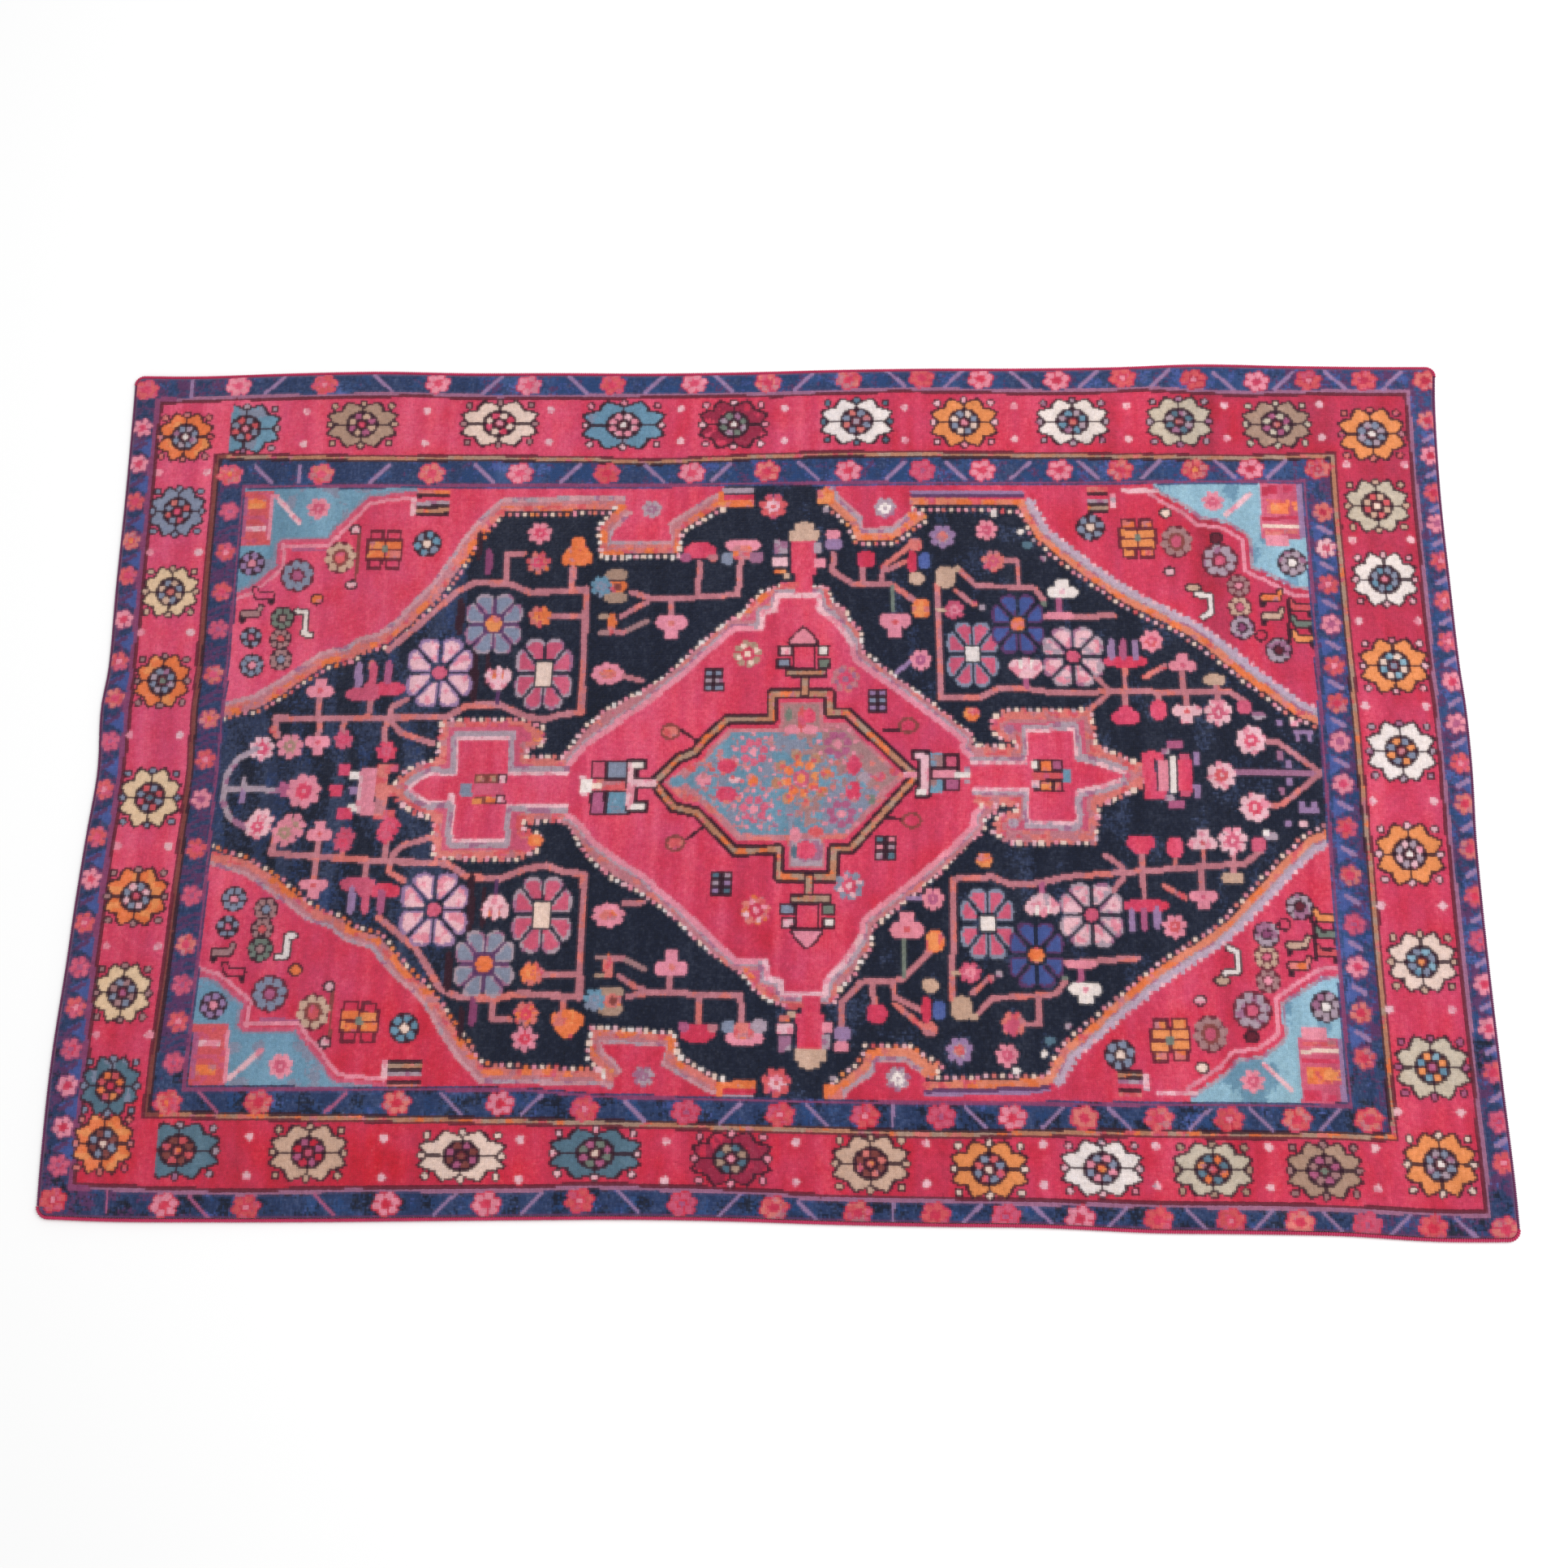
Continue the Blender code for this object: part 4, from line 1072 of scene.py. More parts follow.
def border_flower(x, y, w, h, body, ring, heart, dots, cut=-200):
    """A square-set flower of eight pointed lobes, with small dots in the notches between them.

    A dark ring in its middle holds eight dots of two wools. With cut, only its right part is tied.
    """
    part, kx, ky = patch(x - w / 2 - 1, x + w / 2 + 1, y - h / 2 - 1, y + h / 2 + 1)
    before = tied[part].copy()
    u, v = (kx - x) / (w / 2), (ky - y) / (h / 2)
    r = (np.abs(u) ** 3 + np.abs(v) ** 3) ** (1 / 3)
    notch = np.abs((np.arctan2(v, u) / (math.pi / 4)) % 1 - 0.5) * 2
    rim = 1 - 0.26 * notch
    outline = "dark" if body != "crimson" else "maroon"
    tie(part, r <= rim + 0.06, outline)
    tie(part, r <= rim - 0.04, body)
    on_axis = np.minimum(np.abs(kx - x), np.abs(ky - y)) < 0.2
    tie(part, on_axis & (r <= rim), outline)
    for k in range(8):
        reach = 0.92 if k % 2 == 0 else 1.14
        dot_x = x + w / 2 * reach * math.cos(math.radians(45 * k))
        dot_y = y + h / 2 * reach * math.sin(math.radians(45 * k))
        oval(dot_x, dot_y, 0.7, 0.68, outline)
        oval(dot_x, dot_y, 0.4, 0.4, dots)
    rx, ry = 1.2 + 0.115 * w, 1.3 + 0.115 * h
    oval(x, y, rx + 0.2, ry + 0.2, outline)
    for k in range(8):
        angle = math.radians(45 * k + 22.5)
        oval(x + rx * 0.68 * math.cos(angle), y + ry * 0.68 * math.sin(angle),
             0.22 * rx, 0.22 * ry, ring[k % 2])
    oval(x, y, 0.3 * rx, 0.3 * ry, "maroon" if outline == "dark" else "brown")
    oval(x, y, 0.5, 0.46, heart)
    tied[part] = np.where(kx > cut, tied[part], before)


# The main border's flowers, in order from the far left corner along each side.
FAR_BORDER = [
    # x, y, width, height, body, two wools in the ring, heart, dots
    (-96, 56, 9, 8.5, "orange", ("slate", "grey lilac"), "white", "salmon"),
    (-67, 58, 11.5, 8, "khaki", ("mauve", "beige"), "crimson", "beige"),
    (-44.5, 58, 12.6, 8, "cream", ("crimson", "cream"), "pink", "taupe"),
    (-24.3, 57.6, 13.4, 8.4, "sky", ("pink", "pale pink"), "white", "pale pink"),
    (-6.5, 57.6, 11, 8.4, "wine", ("grey green", "grey lilac"), "white", "pale pink"),
    (13.3, 58, 11.6, 8, "white", ("salmon", "slate"), "grey lilac", "teal"),
    (30.5, 57.7, 10.6, 8.4, "amber", ("slate", "cream"), "pink", "pale pink"),
    (47.8, 57.7, 11.4, 8, "white", ("sky", "grey lilac"), "salmon", "grey lilac"),
    (64.7, 57.6, 10.2, 8.6, "sand", ("teal", "grey lilac"), "salmon", "grey lilac"),
    (80, 57, 10.6, 8, "khaki", ("mauve", "sand"), "salmon", "sand"),
    (94.8, 55.2, 10.2, 9, "amber", ("grey lilac", "slate"), "white", "salmon"),
]
NEAR_BORDER = [
    (-97, -56.3, 8.8, 8.6, "orange", ("brown", "slate"), "cream", "salmon"),
    (-66.5, -57.3, 11.4, 8, "beige", ("mauve", "crimson"), "rose", "beige"),
    (-44, -57.5, 12.8, 7.2, "cream", ("brown", "mauve"), "brown", "cream"),
    (-24.5, -57, 13.4, 7.2, "teal", ("mauve", "grey green"), "cream", "pale pink"),
    (-4.8, -57.5, 11.5, 7.6, "wine", ("khaki", "teal"), "pink", "pink"),
    (15.3, -58, 11, 8, "beige", ("salmon", "brown"), "orange", "beige"),
    (32.3, -58.6, 11, 8, "amber", ("slate", "coral"), "cream", "cream"),
    (48.3, -58.3, 11.6, 7.8, "white", ("slate", "pink"), "orange", "pale pink"),
    (64, -58.3, 11.2, 7.6, "sand", ("teal", "orange"), "salmon", "khaki"),
    (79.7, -58.3, 10.6, 7.8, "khaki", ("mauve", "taupe"), "grey green", "taupe"),
    (96, -57.3, 10.2, 8.8, "amber", ("grey lilac", "slate"), "white", "cream"),
]
LEFT_BORDER = [
    (-96, 43, 8.8, 8.6, "slate", ("salmon", "slate"), "crimson", "slate"),
    (-95.7, 29.3, 8.8, 8.4, "straw", ("slate", "beige"), "salmon", "beige"),
    (-95.5, 14.5, 8.6, 8.8, "orange", ("slate", "grey lilac"), "grey green", "taupe"),
    (-95.5, -4.3, 9.4, 9.4, "straw", ("coral", "slate"), "teal", "slate"),
    (-96, -19.7, 9.6, 9, "orange", ("pale pink", "slate"), "coral", "taupe"),
    (-96.5, -34.3, 8.6, 8.8, "straw", ("slate", "taupe"), "mauve", "taupe"),
    (-96.8, -48, 8.6, 8.6, "teal", ("orange", "coral"), "crimson", "slate"),
]
RIGHT_BORDER = [
    (94.7, 43, 9.8, 8.8, "sand", ("coral", "beige"), "cream", "beige"),
    (95, 30.8, 9.8, 8.8, "white", ("sky", "slate"), "pink", "pale pink"),
    (95.3, 16.8, 10.2, 8.8, "amber", ("light sky", "cream"), "slate", "pale pink"),
    (95.3, 3.3, 10.2, 9.4, "white", ("amber", "slate"), "salmon", "grey lilac"),
    (95.3, -12.5, 9.8, 9.4, "amber", ("pale pink", "grey lilac"), "white", "pale pink"),
    (95.8, -28.5, 9.8, 8.8, "cream", ("slate", "light sky"), "amber", "beige"),
    (96, -43.7, 10.4, 9, "sand", ("amber", "light sky"), "mauve", "mauve"),
]
for side in (FAR_BORDER, NEAR_BORDER, LEFT_BORDER, RIGHT_BORDER):
    for flower in side:
        border_flower(*flower)

# Beside the left corners the weaver ran out of room and tied only part of a blue flower.
border_flower(-86.2, 57.4, 11.4, 8.6, "sky", ("coral", "slate"), "pink", "grey lilac", -88.6)
border_flower(-85.8, -57.2, 12.4, 8, "teal", ("brown", "coral"), "orange", "grey lilac", -89)

# Pairs of pink dots stand between the border's flowers.
for x in (-76.3, -56.5, -36.3, -15, 1.7, 21, 38.5, 56.5, 72, 87):
    oval(x, 60.4, 0.62, 0.6, "pale pink")
    oval(x, 54.7, 0.62, 0.6, "pale pink")
for x in (-75.3, -55.5, -35.5, -14.3, 4.5, 23.3, 40, 56, 72, 87):
    oval(x, -55.1, 0.62, 0.6, "pale pink")
    oval(x, -60.7, 0.62, 0.6, "pale pink")
for y in (49.8, 36, 22.5, 5.7, -11.9, -27.3, -40.5):
    oval(-99.7, y, 0.6, 0.6, "pink")
    oval(-91.8, y, 0.7, 0.6, "pale pink")
for y in (50, 37.3, 24, 10.4, -4.4, -20.2, -35.4, -50):
    oval(90.5, y, 0.62, 0.62, "pale pink")
    oval(99.5, y, 0.62, 0.62, "pale pink")


# ---- Skeins: how the dyes vary --------------------------------------------------------------------
# The wools are hand-dyed in small lots, so a colour changes in bands across the rug wherever the
# weaver took a new skein (abrash), and years of light and feet have made it cloudy.

random = np.random.default_rng(1907)


def skein_bands(shortest, longest, strength):
    """Uneven steps of shade along the rug, softened where two skeins were mixed."""
    shade = np.zeros(COLUMNS)
    k = 0
    while k < COLUMNS:
        width = int(random.uniform(shortest, longest) / KNOT)
        shade[k:k + width] = random.uniform(-strength, strength)
        k += width
    return np.convolve(np.pad(shade, 2, mode="edge"), np.ones(5) / 5, mode="same")[2:-2]


def cloudy(cell_x, cell_y, strength):
    """Soft cloudy shade, with one value for each cell of so many knots."""
    nx, ny = COLUMNS // cell_x + 3, ROWS // cell_y + 3
    grid = random.uniform(-strength, strength, (ny, nx))
    x = np.arange(COLUMNS) / cell_x
    y = np.arange(ROWS) / cell_y
    ix, iy = x.astype(int), y.astype(int)
    tx, ty = x - ix, y - iy
    tx, ty = tx * tx * (3 - 2 * tx), ty * ty * (3 - 2 * ty)
    low = grid[iy][:, ix] * (1 - tx) + grid[iy][:, ix + 1] * tx
    high = grid[iy + 1][:, ix] * (1 - tx) + grid[iy + 1][:, ix + 1] * tx
    return low * (1 - ty[:, None]) + high * ty[:, None]


FIELD_BLUES = ("navy", "field blue", "deep blue")
GROUND_BLUES = FIELD_BLUES + ("guard blue",)


def eke_out(wool, other, share, cell_x, cell_y, where):
    """Where a skein ran short, some of its knots are tied in the nearest other wool."""
    mixed = 0.5 if wool in GROUND_BLUES else 0.15
    grain = cloudy(cell_x, cell_y, 1) + random.uniform(-mixed, mixed, tied.shape)
    tie(WHOLE_RUG, tied_with(wool) & where & (grain > np.quantile(grain, 1 - share)), other)


in_field = field > END_OF_FIELD
centre = (np.abs(knot_x) < 22) & (np.abs(knot_y + 2) < 16)
left_garden = (knot_x < 0) & in_field & (np.abs(knot_y + 3) > 12)
for wool, other, share, cell_x, cell_y, where in (
    ("orange", "salmon", 0.3, 4, 4, np.abs(knot_x) < 88), ("orange", "amber", 0.3, 4, 4, True),
    ("gold", "khaki", 0.3, 4, 4, True), ("gold", "orange", 0.15, 4, 4, knot_y < 44),
    ("gold", "salmon", 0.2, 4, 4, True), ("salmon", "orange", 0.3, 5, 4, left_garden),
    ("peach", "orange", 0.3, 5, 4, True), ("peach", "salmon", 0.25, 4, 4, True),
    ("wine", "crimson", 0.3, 3, 4, True), ("dusty pink", "grey lilac", 0.3, 4, 4, True),
    ("salmon", "coral", 0.3, 4, 4, True), ("salmon", "stem pink", 0.3, 4, 4, True),
    ("grey lilac", "orchid", 0.3, 4, 4, True), ("pale pink", "pink", 0.25, 3, 3, True),
    ("stem pink", "salmon", 0.2, 5, 5, True), ("coral", "rose", 0.2, 3, 3, True),
    ("navy", "field blue", 0.55, 6, 22, (knot_x < -48) & in_field),
    ("field blue", "deep blue", 0.2, 5, 12, in_field), ("navy", "field blue", 0.08, 8, 14, knot_x > 0),
    ("guard blue", "deep blue", 0.75, 7, 6, (knot_x < -50) | (knot_y < -40)),
    ("guard blue", "deep blue", 0.35, 6, 5, True), ("guard blue", "royal", 0.12, 5, 6, True),
    ("deep blue", "navy", 0.2, 7, 6, knot_y < -40), ("guard blue", "purple", 0.12, 5, 5, knot_y > 40),
    ("guard blue", "purple", 0.4, 5, 5, np.abs(knot_x) > 82), ("teal", "slate", 0.3, 3, 5, knot_x < -90),
    ("pale pink", "grey lilac", 0.25, 3, 3, (knot_x > 38) & (knot_x < 56)),
    ("deep blue", "purple", 0.3, 5, 5, np.abs(knot_x) > 86), ("sky", "slate", 0.2, 6, 9, True),
    ("sky", "taupe", 0.4, 3, 3, (knot_x > 4) & (knot_x < 30)), ("sky", "stem pink", 0.15, 2, 2, centre),
    ("light sky", "sky", 0.2, 9, 12, True),
):
    eke_out(wool, other, share, cell_x, cell_y, where)


def linear(colour):
    """Daylight colour numbers as plain light."""
    c = np.asarray(colour, dtype=float) / 255
    return np.where(c <= 0.04045, c / 12.92, ((c + 0.055) / 1.055) ** 2.4)


# How pale the crimson is in each lot along the rug, and how that changes across its two ends.
CRIMSON_ALONG = [
    # along, paleness
    (-106, 0.2), (-90, 0.3), (-74, 0.3), (-62, 0), (-56, -0.2), (-44, 0), (-30, 0.2), (-18, 0.1),
    (-4, -0.1), (12, 0), (30, 0), (44, 0.1), (58, 0), (72, -0.1), (86, 0.1), (106, 0.1),
]
CRIMSON_LEFT = [(-60, -1), (-50, -0.7), (-33, -0.2), (-10, 0.45), (10, 0.5), (33, 0.35), (60, 0.4)]
CRIMSON_RIGHT = [(-60, -0.3), (-33, -0.1), (0, 0.2), (33, -0.1), (60, -0.25)]
WOOL_LIGHT = 0.81          # share of a wool's daylight colour that it reflects here
OWN_SHARE = 0.6            # of a knot that shows; its neighbours' ends cover the rest
LIGHTER = 0.22             # how much lighter a wool is for one step of its shade
FADE = 0.1                 # how far one such step also fades it
FADED_GREY = 0.6           # what it fades towards
ROSIER = np.array([0, 0.36, 0.36])     # how a paler crimson turns to rose
WARMER = np.array([1, 0.2, -1])        # how a warmer wool turns to orange

wool_colour = linear(np.array(list(WOOLS.values()))) * WOOL_LIGHT
knot_colour = wool_colour[tied]
to_right = np.clip((knot_x + 70) / 130, 0, 1)
lot = (
    np.interp(knot_x, *np.array(CRIMSON_ALONG).T)
    + np.interp(knot_y, *np.array(CRIMSON_LEFT).T) * (1 - to_right)
    + np.interp(knot_y, *np.array(CRIMSON_RIGHT).T) * to_right
)
shade = np.zeros(tied.shape)
for group, coarse, fine in (
    (("crimson",), 0.35, 0.35), (FIELD_BLUES, 0.4, 0.4),
    (("guard blue", "sky", "light sky", "royal", "teal"), 0.5, 0.3),
    (("pink", "pale pink", "dusty pink", "stem pink", "salmon", "coral", "rose"), 0.3, 0.3),
    (("orange", "peach", "amber", "gold", "beige", "cream", "white", "sand", "khaki"), 0.25, 0.25),
):
    streaks = skein_bands(2.5, 9, coarse) + skein_bands(0.5, 1.6, fine) + cloudy(4, 60, fine)
    shade = np.where(tied_with(*group), streaks, shade)
crimson = tied_with("crimson")
rosy = np.where(crimson, lot + cloudy(13, 11, 0.65) + cloudy(4, 9, 0.5), 0)
knot_colour = knot_colour * (1 + rosy[:, :, None] * ROSIER)
deep_corner = np.clip((knot_x - 45) / 25, 0, 1) * np.clip((knot_y - 2) / 28, 0, 1)
shade = shade + np.where(crimson, 0.6 * lot - 0.9 * deep_corner, 0)
grain = np.where(tied_with(*FIELD_BLUES), 0.75, 0.3)
shade = shade + cloudy(26, 26, 0.15) + cloudy(7, 7, 0.12) + random.normal(0, 1, tied.shape) * grain
faded = FADE * np.maximum(shade, 0)[:, :, None] * np.sqrt(knot_colour.max(axis=2, keepdims=True))
knot_colour = knot_colour * (1 + LIGHTER * shade)[:, :, None] + faded * (FADED_GREY - knot_colour) * 0.9
warmth = cloudy(60, 60, 0.03) + random.normal(0, 0.015, tied.shape)
knot_colour = knot_colour * (1 + warmth[:, :, None] * WARMER)
around = sum(np.roll(knot_colour, step, axis) for step in (-1, 1) for axis in (0, 1)) / 4
knot_colour = np.clip(knot_colour * OWN_SHARE + around * (1 - OWN_SHARE), 0.002, 0.95)


# ---- Pile of clipped wool -------------------------------------------------------------------------
# Each knot is one small square of clipped wool ends, about 9 mm above the floor. The pile is in four
# strips along the rug, which meet along a row of knots, and it leans out where it ends.

STRIPS = 4
PILE_TOP = 0.009           # m above the floor
PILE_EDGE = 0.0065         # m, height where the pile leans out at its edge
PILE_FOOT = 0.0022         # m, top of the foundation
PILE_UNEVEN = 0.00016      # m, how much the knots' heights differ
PILE_SWELL = 0.0002        # m, how far the pile rises and falls as it lies
KNOT_ASTRAY = 0.00022      # m, how far a knot's corner stands out of line
UV_BLOCKS = 3              # each strip's map is cut in three and stacked, to fill its square
UV_MARGIN = 3              # knots left free round each of them
UNDER_ROWS = 14            # rows of the map kept for the plain underside
PAINTED_WALL_SHADE = 0.9           # painted shade: the pile's sides are coloured a little darker than its top


def add_node(tree, kind, inputs, **settings):
    """A new node, with each input set to a value or joined to another node's output."""
    node = tree.nodes.new(kind)
    for name, value in settings.items():
        setattr(node, name, value)
    for name, value in inputs.items():
        if isinstance(value, bpy.types.NodeSocket):
            tree.links.new(value, node.inputs[name])
        else:
            node.inputs[name].default_value = value
    return node.outputs


def maths(tree, operation, *values):
    return add_node(tree, "ShaderNodeMath", dict(enumerate(values)), operation=operation)["Value"]


def vector_maths(tree, operation, inputs):
    return add_node(tree, "ShaderNodeVectorMath", inputs, operation=operation)["Vector"]


def noise(tree, place, scale, detail, roughness=0.5):
    return add_node(tree, "ShaderNodeTexNoise", {
        "Vector": place, "Scale": scale, "Detail": detail, "Roughness": roughness})["Fac"]


def new_wool(name, surface):
    """A wool's material with the plain values of its surface, its nodes, and the place on a piece."""
    made = bpy.data.materials.new(name)
    made.use_nodes = True
    shader = made.node_tree.nodes["Principled BSDF"]
    for socket, value in surface.items():
        shader.inputs[socket].default_value = value
    return made, made.node_tree, made.node_tree.nodes.new("ShaderNodeTexCoord").outputs["Object"]


def finish_wool(tree, colour, height, strength, distance):
    """Joins the colour, and the relief in metres, to the wool's surface."""
    shader = tree.nodes["Principled BSDF"]
    relief = add_node(tree, "ShaderNodeBump", {
        "Strength": strength, "Distance": distance, "Height": height})
    tree.links.new(colour, shader.inputs["Base Color"])
    tree.links.new(relief["Normal"], shader.inputs["Normal"])


def wool_pile():
    """Clipped wool: soft grain of cut yarn ends, a dome on each knot, a dull sheen."""
    made, tree, place = new_wool("wool_pile", {
        "Roughness": 0.95, "Specular IOR Level": 0.12, "Sheen Weight": 0.18, "Sheen Roughness": 0.55,
        "Sheen Tint": (1, 0.9, 0.93, 1)})
    ends = noise(tree, place, 900, 3, 0.6)
    tufts = noise(tree, place, 190, 2)
    worn = noise(tree, place, 9, 4)
    bright = 1
    for grain, low, high in ((ends, 0.82, 1.16), (tufts, 0.93, 1.07), (worn, 0.96, 1.04)):
        bright = maths(tree, "MULTIPLY", bright, add_node(tree, "ShaderNodeMapRange", {
            "Value": grain, "From Min": 0.3, "From Max": 0.7, "To Min": low, "To Max": high})["Result"])
    wool = add_node(tree, "ShaderNodeAttribute", {}, attribute_name="wool")["Color"]
    colour = vector_maths(tree, "SCALE", {0: wool, "Scale": bright})

    knots = add_node(tree, "ShaderNodeUVMap", {}, uv_map="knots")["UV"]
    wave = vector_maths(tree, "SINE", {0: vector_maths(tree, "SCALE", {0: knots, "Scale": math.pi})})
    dome = add_node(tree, "ShaderNodeSeparateXYZ", {"Vector": vector_maths(tree, "ABSOLUTE", {0: wave})})
    height = maths(tree, "MULTIPLY_ADD", maths(tree, "MULTIPLY", dome["X"], dome["Y"]), 0.45, ends)
    finish_wool(tree, colour, height, 0.75, 0.0012)
    return made


def add_mesh(name, vertices, faces, made):
    mesh = bpy.data.meshes.new(name)
    mesh.from_pydata(vertices, [], faces)
    mesh.materials.append(made)
    added = bpy.data.objects.new(name, mesh)
    bpy.context.collection.objects.link(added)
    return added


def slab(name, grid, closed_at, made):
    """A grid of squares with a wall round its edge, closed by one plain face at another height."""
    number = np.arange(grid.shape[0] * grid.shape[1]).reshape(grid.shape[:2])
    squares = np.stack([number[:-1, :-1], number[:-1, 1:], number[1:, 1:], number[1:, :-1]], axis=-1)
    ring = np.concatenate([number[0, :-1], number[:-1, -1], number[-1, :0:-1], number[:0:-1, 0]])
    points = grid.reshape(-1, 3)
    rim = points[ring].copy()
    rim[:, 2] = closed_at
    other = len(points) + np.arange(len(ring))
    walls = np.stack([np.roll(ring, -1), ring, other, np.roll(other, -1)], axis=-1)
    way = -1 if closed_at > points[0, 2] else 1    # all faces turn over where the grid is below
    faces = np.concatenate([squares.reshape(-1, 4), walls])[:, ::way].tolist()
    faces.append(other[::-way].tolist())
    return add_mesh(name, np.concatenate([points, rim]).tolist(), faces, made)


def colour_corners(mesh, colours):
    """Gives each corner of each face the colour it is handed: its wool's colour, which on the pile's walls
    carries painted shade.
    """
    corner_colour = np.ones((len(mesh.loops), 4))
    corner_colour[:, :3] = np.concatenate(colours)
    wool = mesh.color_attributes.new("wool", "FLOAT_COLOR", "CORNER")
    wool.data.foreach_set("color", corner_colour.ravel())


def add_map(mesh, name, u, v):
    layer = mesh.uv_layers.new(name=name)
    layer.data.foreach_set("uv", np.stack([np.concatenate(u), np.concatenate(v)], axis=-1).ravel())


vertex_s, vertex_t = np.meshgrid(np.arange(COLUMNS + 1) / COLUMNS, np.arange(ROWS + 1) / ROWS)
vertex_x, vertex_y = on_rug(vertex_s, vertex_t, SIDE_CORD + GAP)
from_edge = np.minimum(
    np.minimum(vertex_s, 1 - vertex_s) * COLUMNS,
    np.minimum(vertex_t, 1 - vertex_t) * ROWS,
)
vertex_z = np.interp(from_edge, [0, 1, 2], [PILE_EDGE, PILE_TOP - 0.0006, PILE_TOP - 0.0001])
uneven = random.normal(0, PILE_UNEVEN, vertex_z.shape)
gentle = 0.5 * (np.sin(vertex_x * 19 + 1.2) * np.sin(vertex_y * 23) + np.sin(vertex_x * 7 - vertex_y * 11))
vertex_z = vertex_z + np.where(from_edge >= 1, uneven + PILE_SWELL * gentle, 0)
inner = from_edge >= 2
vertex_x = vertex_x + np.where(inner, random.normal(0, KNOT_ASTRAY, vertex_x.shape), 0)
vertex_y = vertex_y + np.where(inner, random.normal(0, KNOT_ASTRAY, vertex_y.shape), 0)
pile_top = np.stack([vertex_x, vertex_y, vertex_z], axis=-1)

pile_material = wool_pile()
strip_rows = np.linspace(0, ROWS, STRIPS + 1).astype(int)
for strip, (first, last) in enumerate(zip(strip_rows, strip_rows[1:])):
    pile = slab(f"wool_pile_{strip + 1}", pile_top[first:last + 1], PILE_FOOT, pile_material)
    mesh = pile.data

    # The strip's knots by number, and for each piece of wall the knot beside it, counterclockwise.
    deep = last - first
    number = np.arange(deep * COLUMNS).reshape(deep, COLUMNS)
    beside_wall = np.concatenate([number[0], number[:, -1], number[-1, ::-1], number[::-1, 0]])
    square_colour = knot_colour[first:last].reshape(-1, 3)
    # Painted shade: each wall is coloured as the knot beside it, made darker, and the plain underside
    # takes their mean.
    painted_shade_wall_colour = square_colour[beside_wall] * PAINTED_WALL_SHADE
    under_colour = np.tile(painted_shade_wall_colour.mean(axis=0), (len(beside_wall), 1))
    colour_corners(mesh, [np.repeat(square_colour, 4, axis=0), np.repeat(painted_shade_wall_colour, 4, axis=0), under_colour])

    # One map lays the strip out in blocks to bake through, with its walls folded down beside it.
    row, column = np.divmod(np.concatenate([number.ravel(), beside_wall]), COLUMNS)
    nth_block, in_block = np.divmod(column, COLUMNS // UV_BLOCKS)
    side = np.repeat(np.arange(4), [COLUMNS, deep, COLUMNS, deep])[:, None]
    along, away = np.array([1, 0, 0, 1]), np.array([0, 0, 1, 1])
    corner_u, corner_v = np.array([0, 1, 1, 0]), np.array([0, 0, 1, 1])
    step_u = np.concatenate([np.tile(corner_u, (number.size, 1)),
                             np.choose(side, [along, 1 + away, 1 - along, -away])])
    step_v = np.concatenate([np.tile(corner_v, (number.size, 1)),
                             np.choose(side, [-away, along, 1 + away, 1 - along])])
    wide = COLUMNS // UV_BLOCKS + 2 * UV_MARGIN
    high = UV_BLOCKS * (deep + 2 * UV_MARGIN) + UNDER_ROWS
    u = (in_block[:, None] + step_u + UV_MARGIN) / wide
    v = ((nth_block * (deep + 2 * UV_MARGIN) + row)[:, None] + step_v + UV_MARGIN) / high
    turn = -np.linspace(0, 2 * math.pi, len(beside_wall), endpoint=False)[::-1]
    under_v = 1 - UNDER_ROWS / 2 / high + (UNDER_ROWS / 2 - 2) / high * np.sin(turn)
    add_map(mesh, "OFBake", [u.ravel(), 0.5 + 0.45 * np.cos(turn)], [v.ravel(), under_v])

    # The other map counts knots, for the dome on each.
    row, column = np.divmod(number.reshape(-1, 1), COLUMNS)
    plain = np.zeros(len(beside_wall))
    add_map(mesh, "knots", [(column + corner_u).ravel(), np.tile(corner_u, len(beside_wall)), plain],
            [(row + corner_v).ravel(), np.tile(corner_v, len(beside_wall)), plain])
    mesh.update()
    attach(pile, "root")


# ---- Foundation: the woven back -------------------------------------------------------------------
# Cotton warps and wefts hold the knots. From below, the back shows the whole figure again as rows of
# small wool loops, flat and matt, with the pale wefts between them.

BACK_STEP = 2              # knots for each square of the back's mesh
BACK_BOTTOM = 0.0002       # m above the floor
BACK_SHADE = 0.92          # the back is flat, so its wools look a little darker
WEFT_COTTON = (0.42, 0.34, 0.3, 1)


def woven_back():
    """The flat back: wool loops in rows, parted by pale wefts."""
    made, tree, place = new_wool("woven_back", {"Roughness": 0.92, "Specular IOR Level": 0.2})
    wefts = add_node(tree, "ShaderNodeTexWave", {
        "Vector": place, "Scale": 105, "Distortion": 0.6, "Detail Scale": 3}, bands_direction="X")["Fac"]
    loops = add_node(tree, "ShaderNodeTexWave", {
        "Vector": place, "Scale": 105, "Distortion": 0.8}, bands_direction="Y")["Fac"]
    weave = maths(tree, "MULTIPLY", wefts, loops)
    show = add_node(tree, "ShaderNodeMapRange", {
        "Value": weave, "From Min": 0, "From Max": 0.35, "To Min": 0.55})["Result"]
    wool = add_node(tree, "ShaderNodeAttribute", {}, attribute_name="wool")["Color"]
    mixed = add_node(tree, "ShaderNodeMix", {
        "Factor": show, "A": WEFT_COTTON, "B": wool}, data_type="RGBA")
    finish_wool(tree, mixed["Result"], weave, 0.6, 0.0006)
    return made


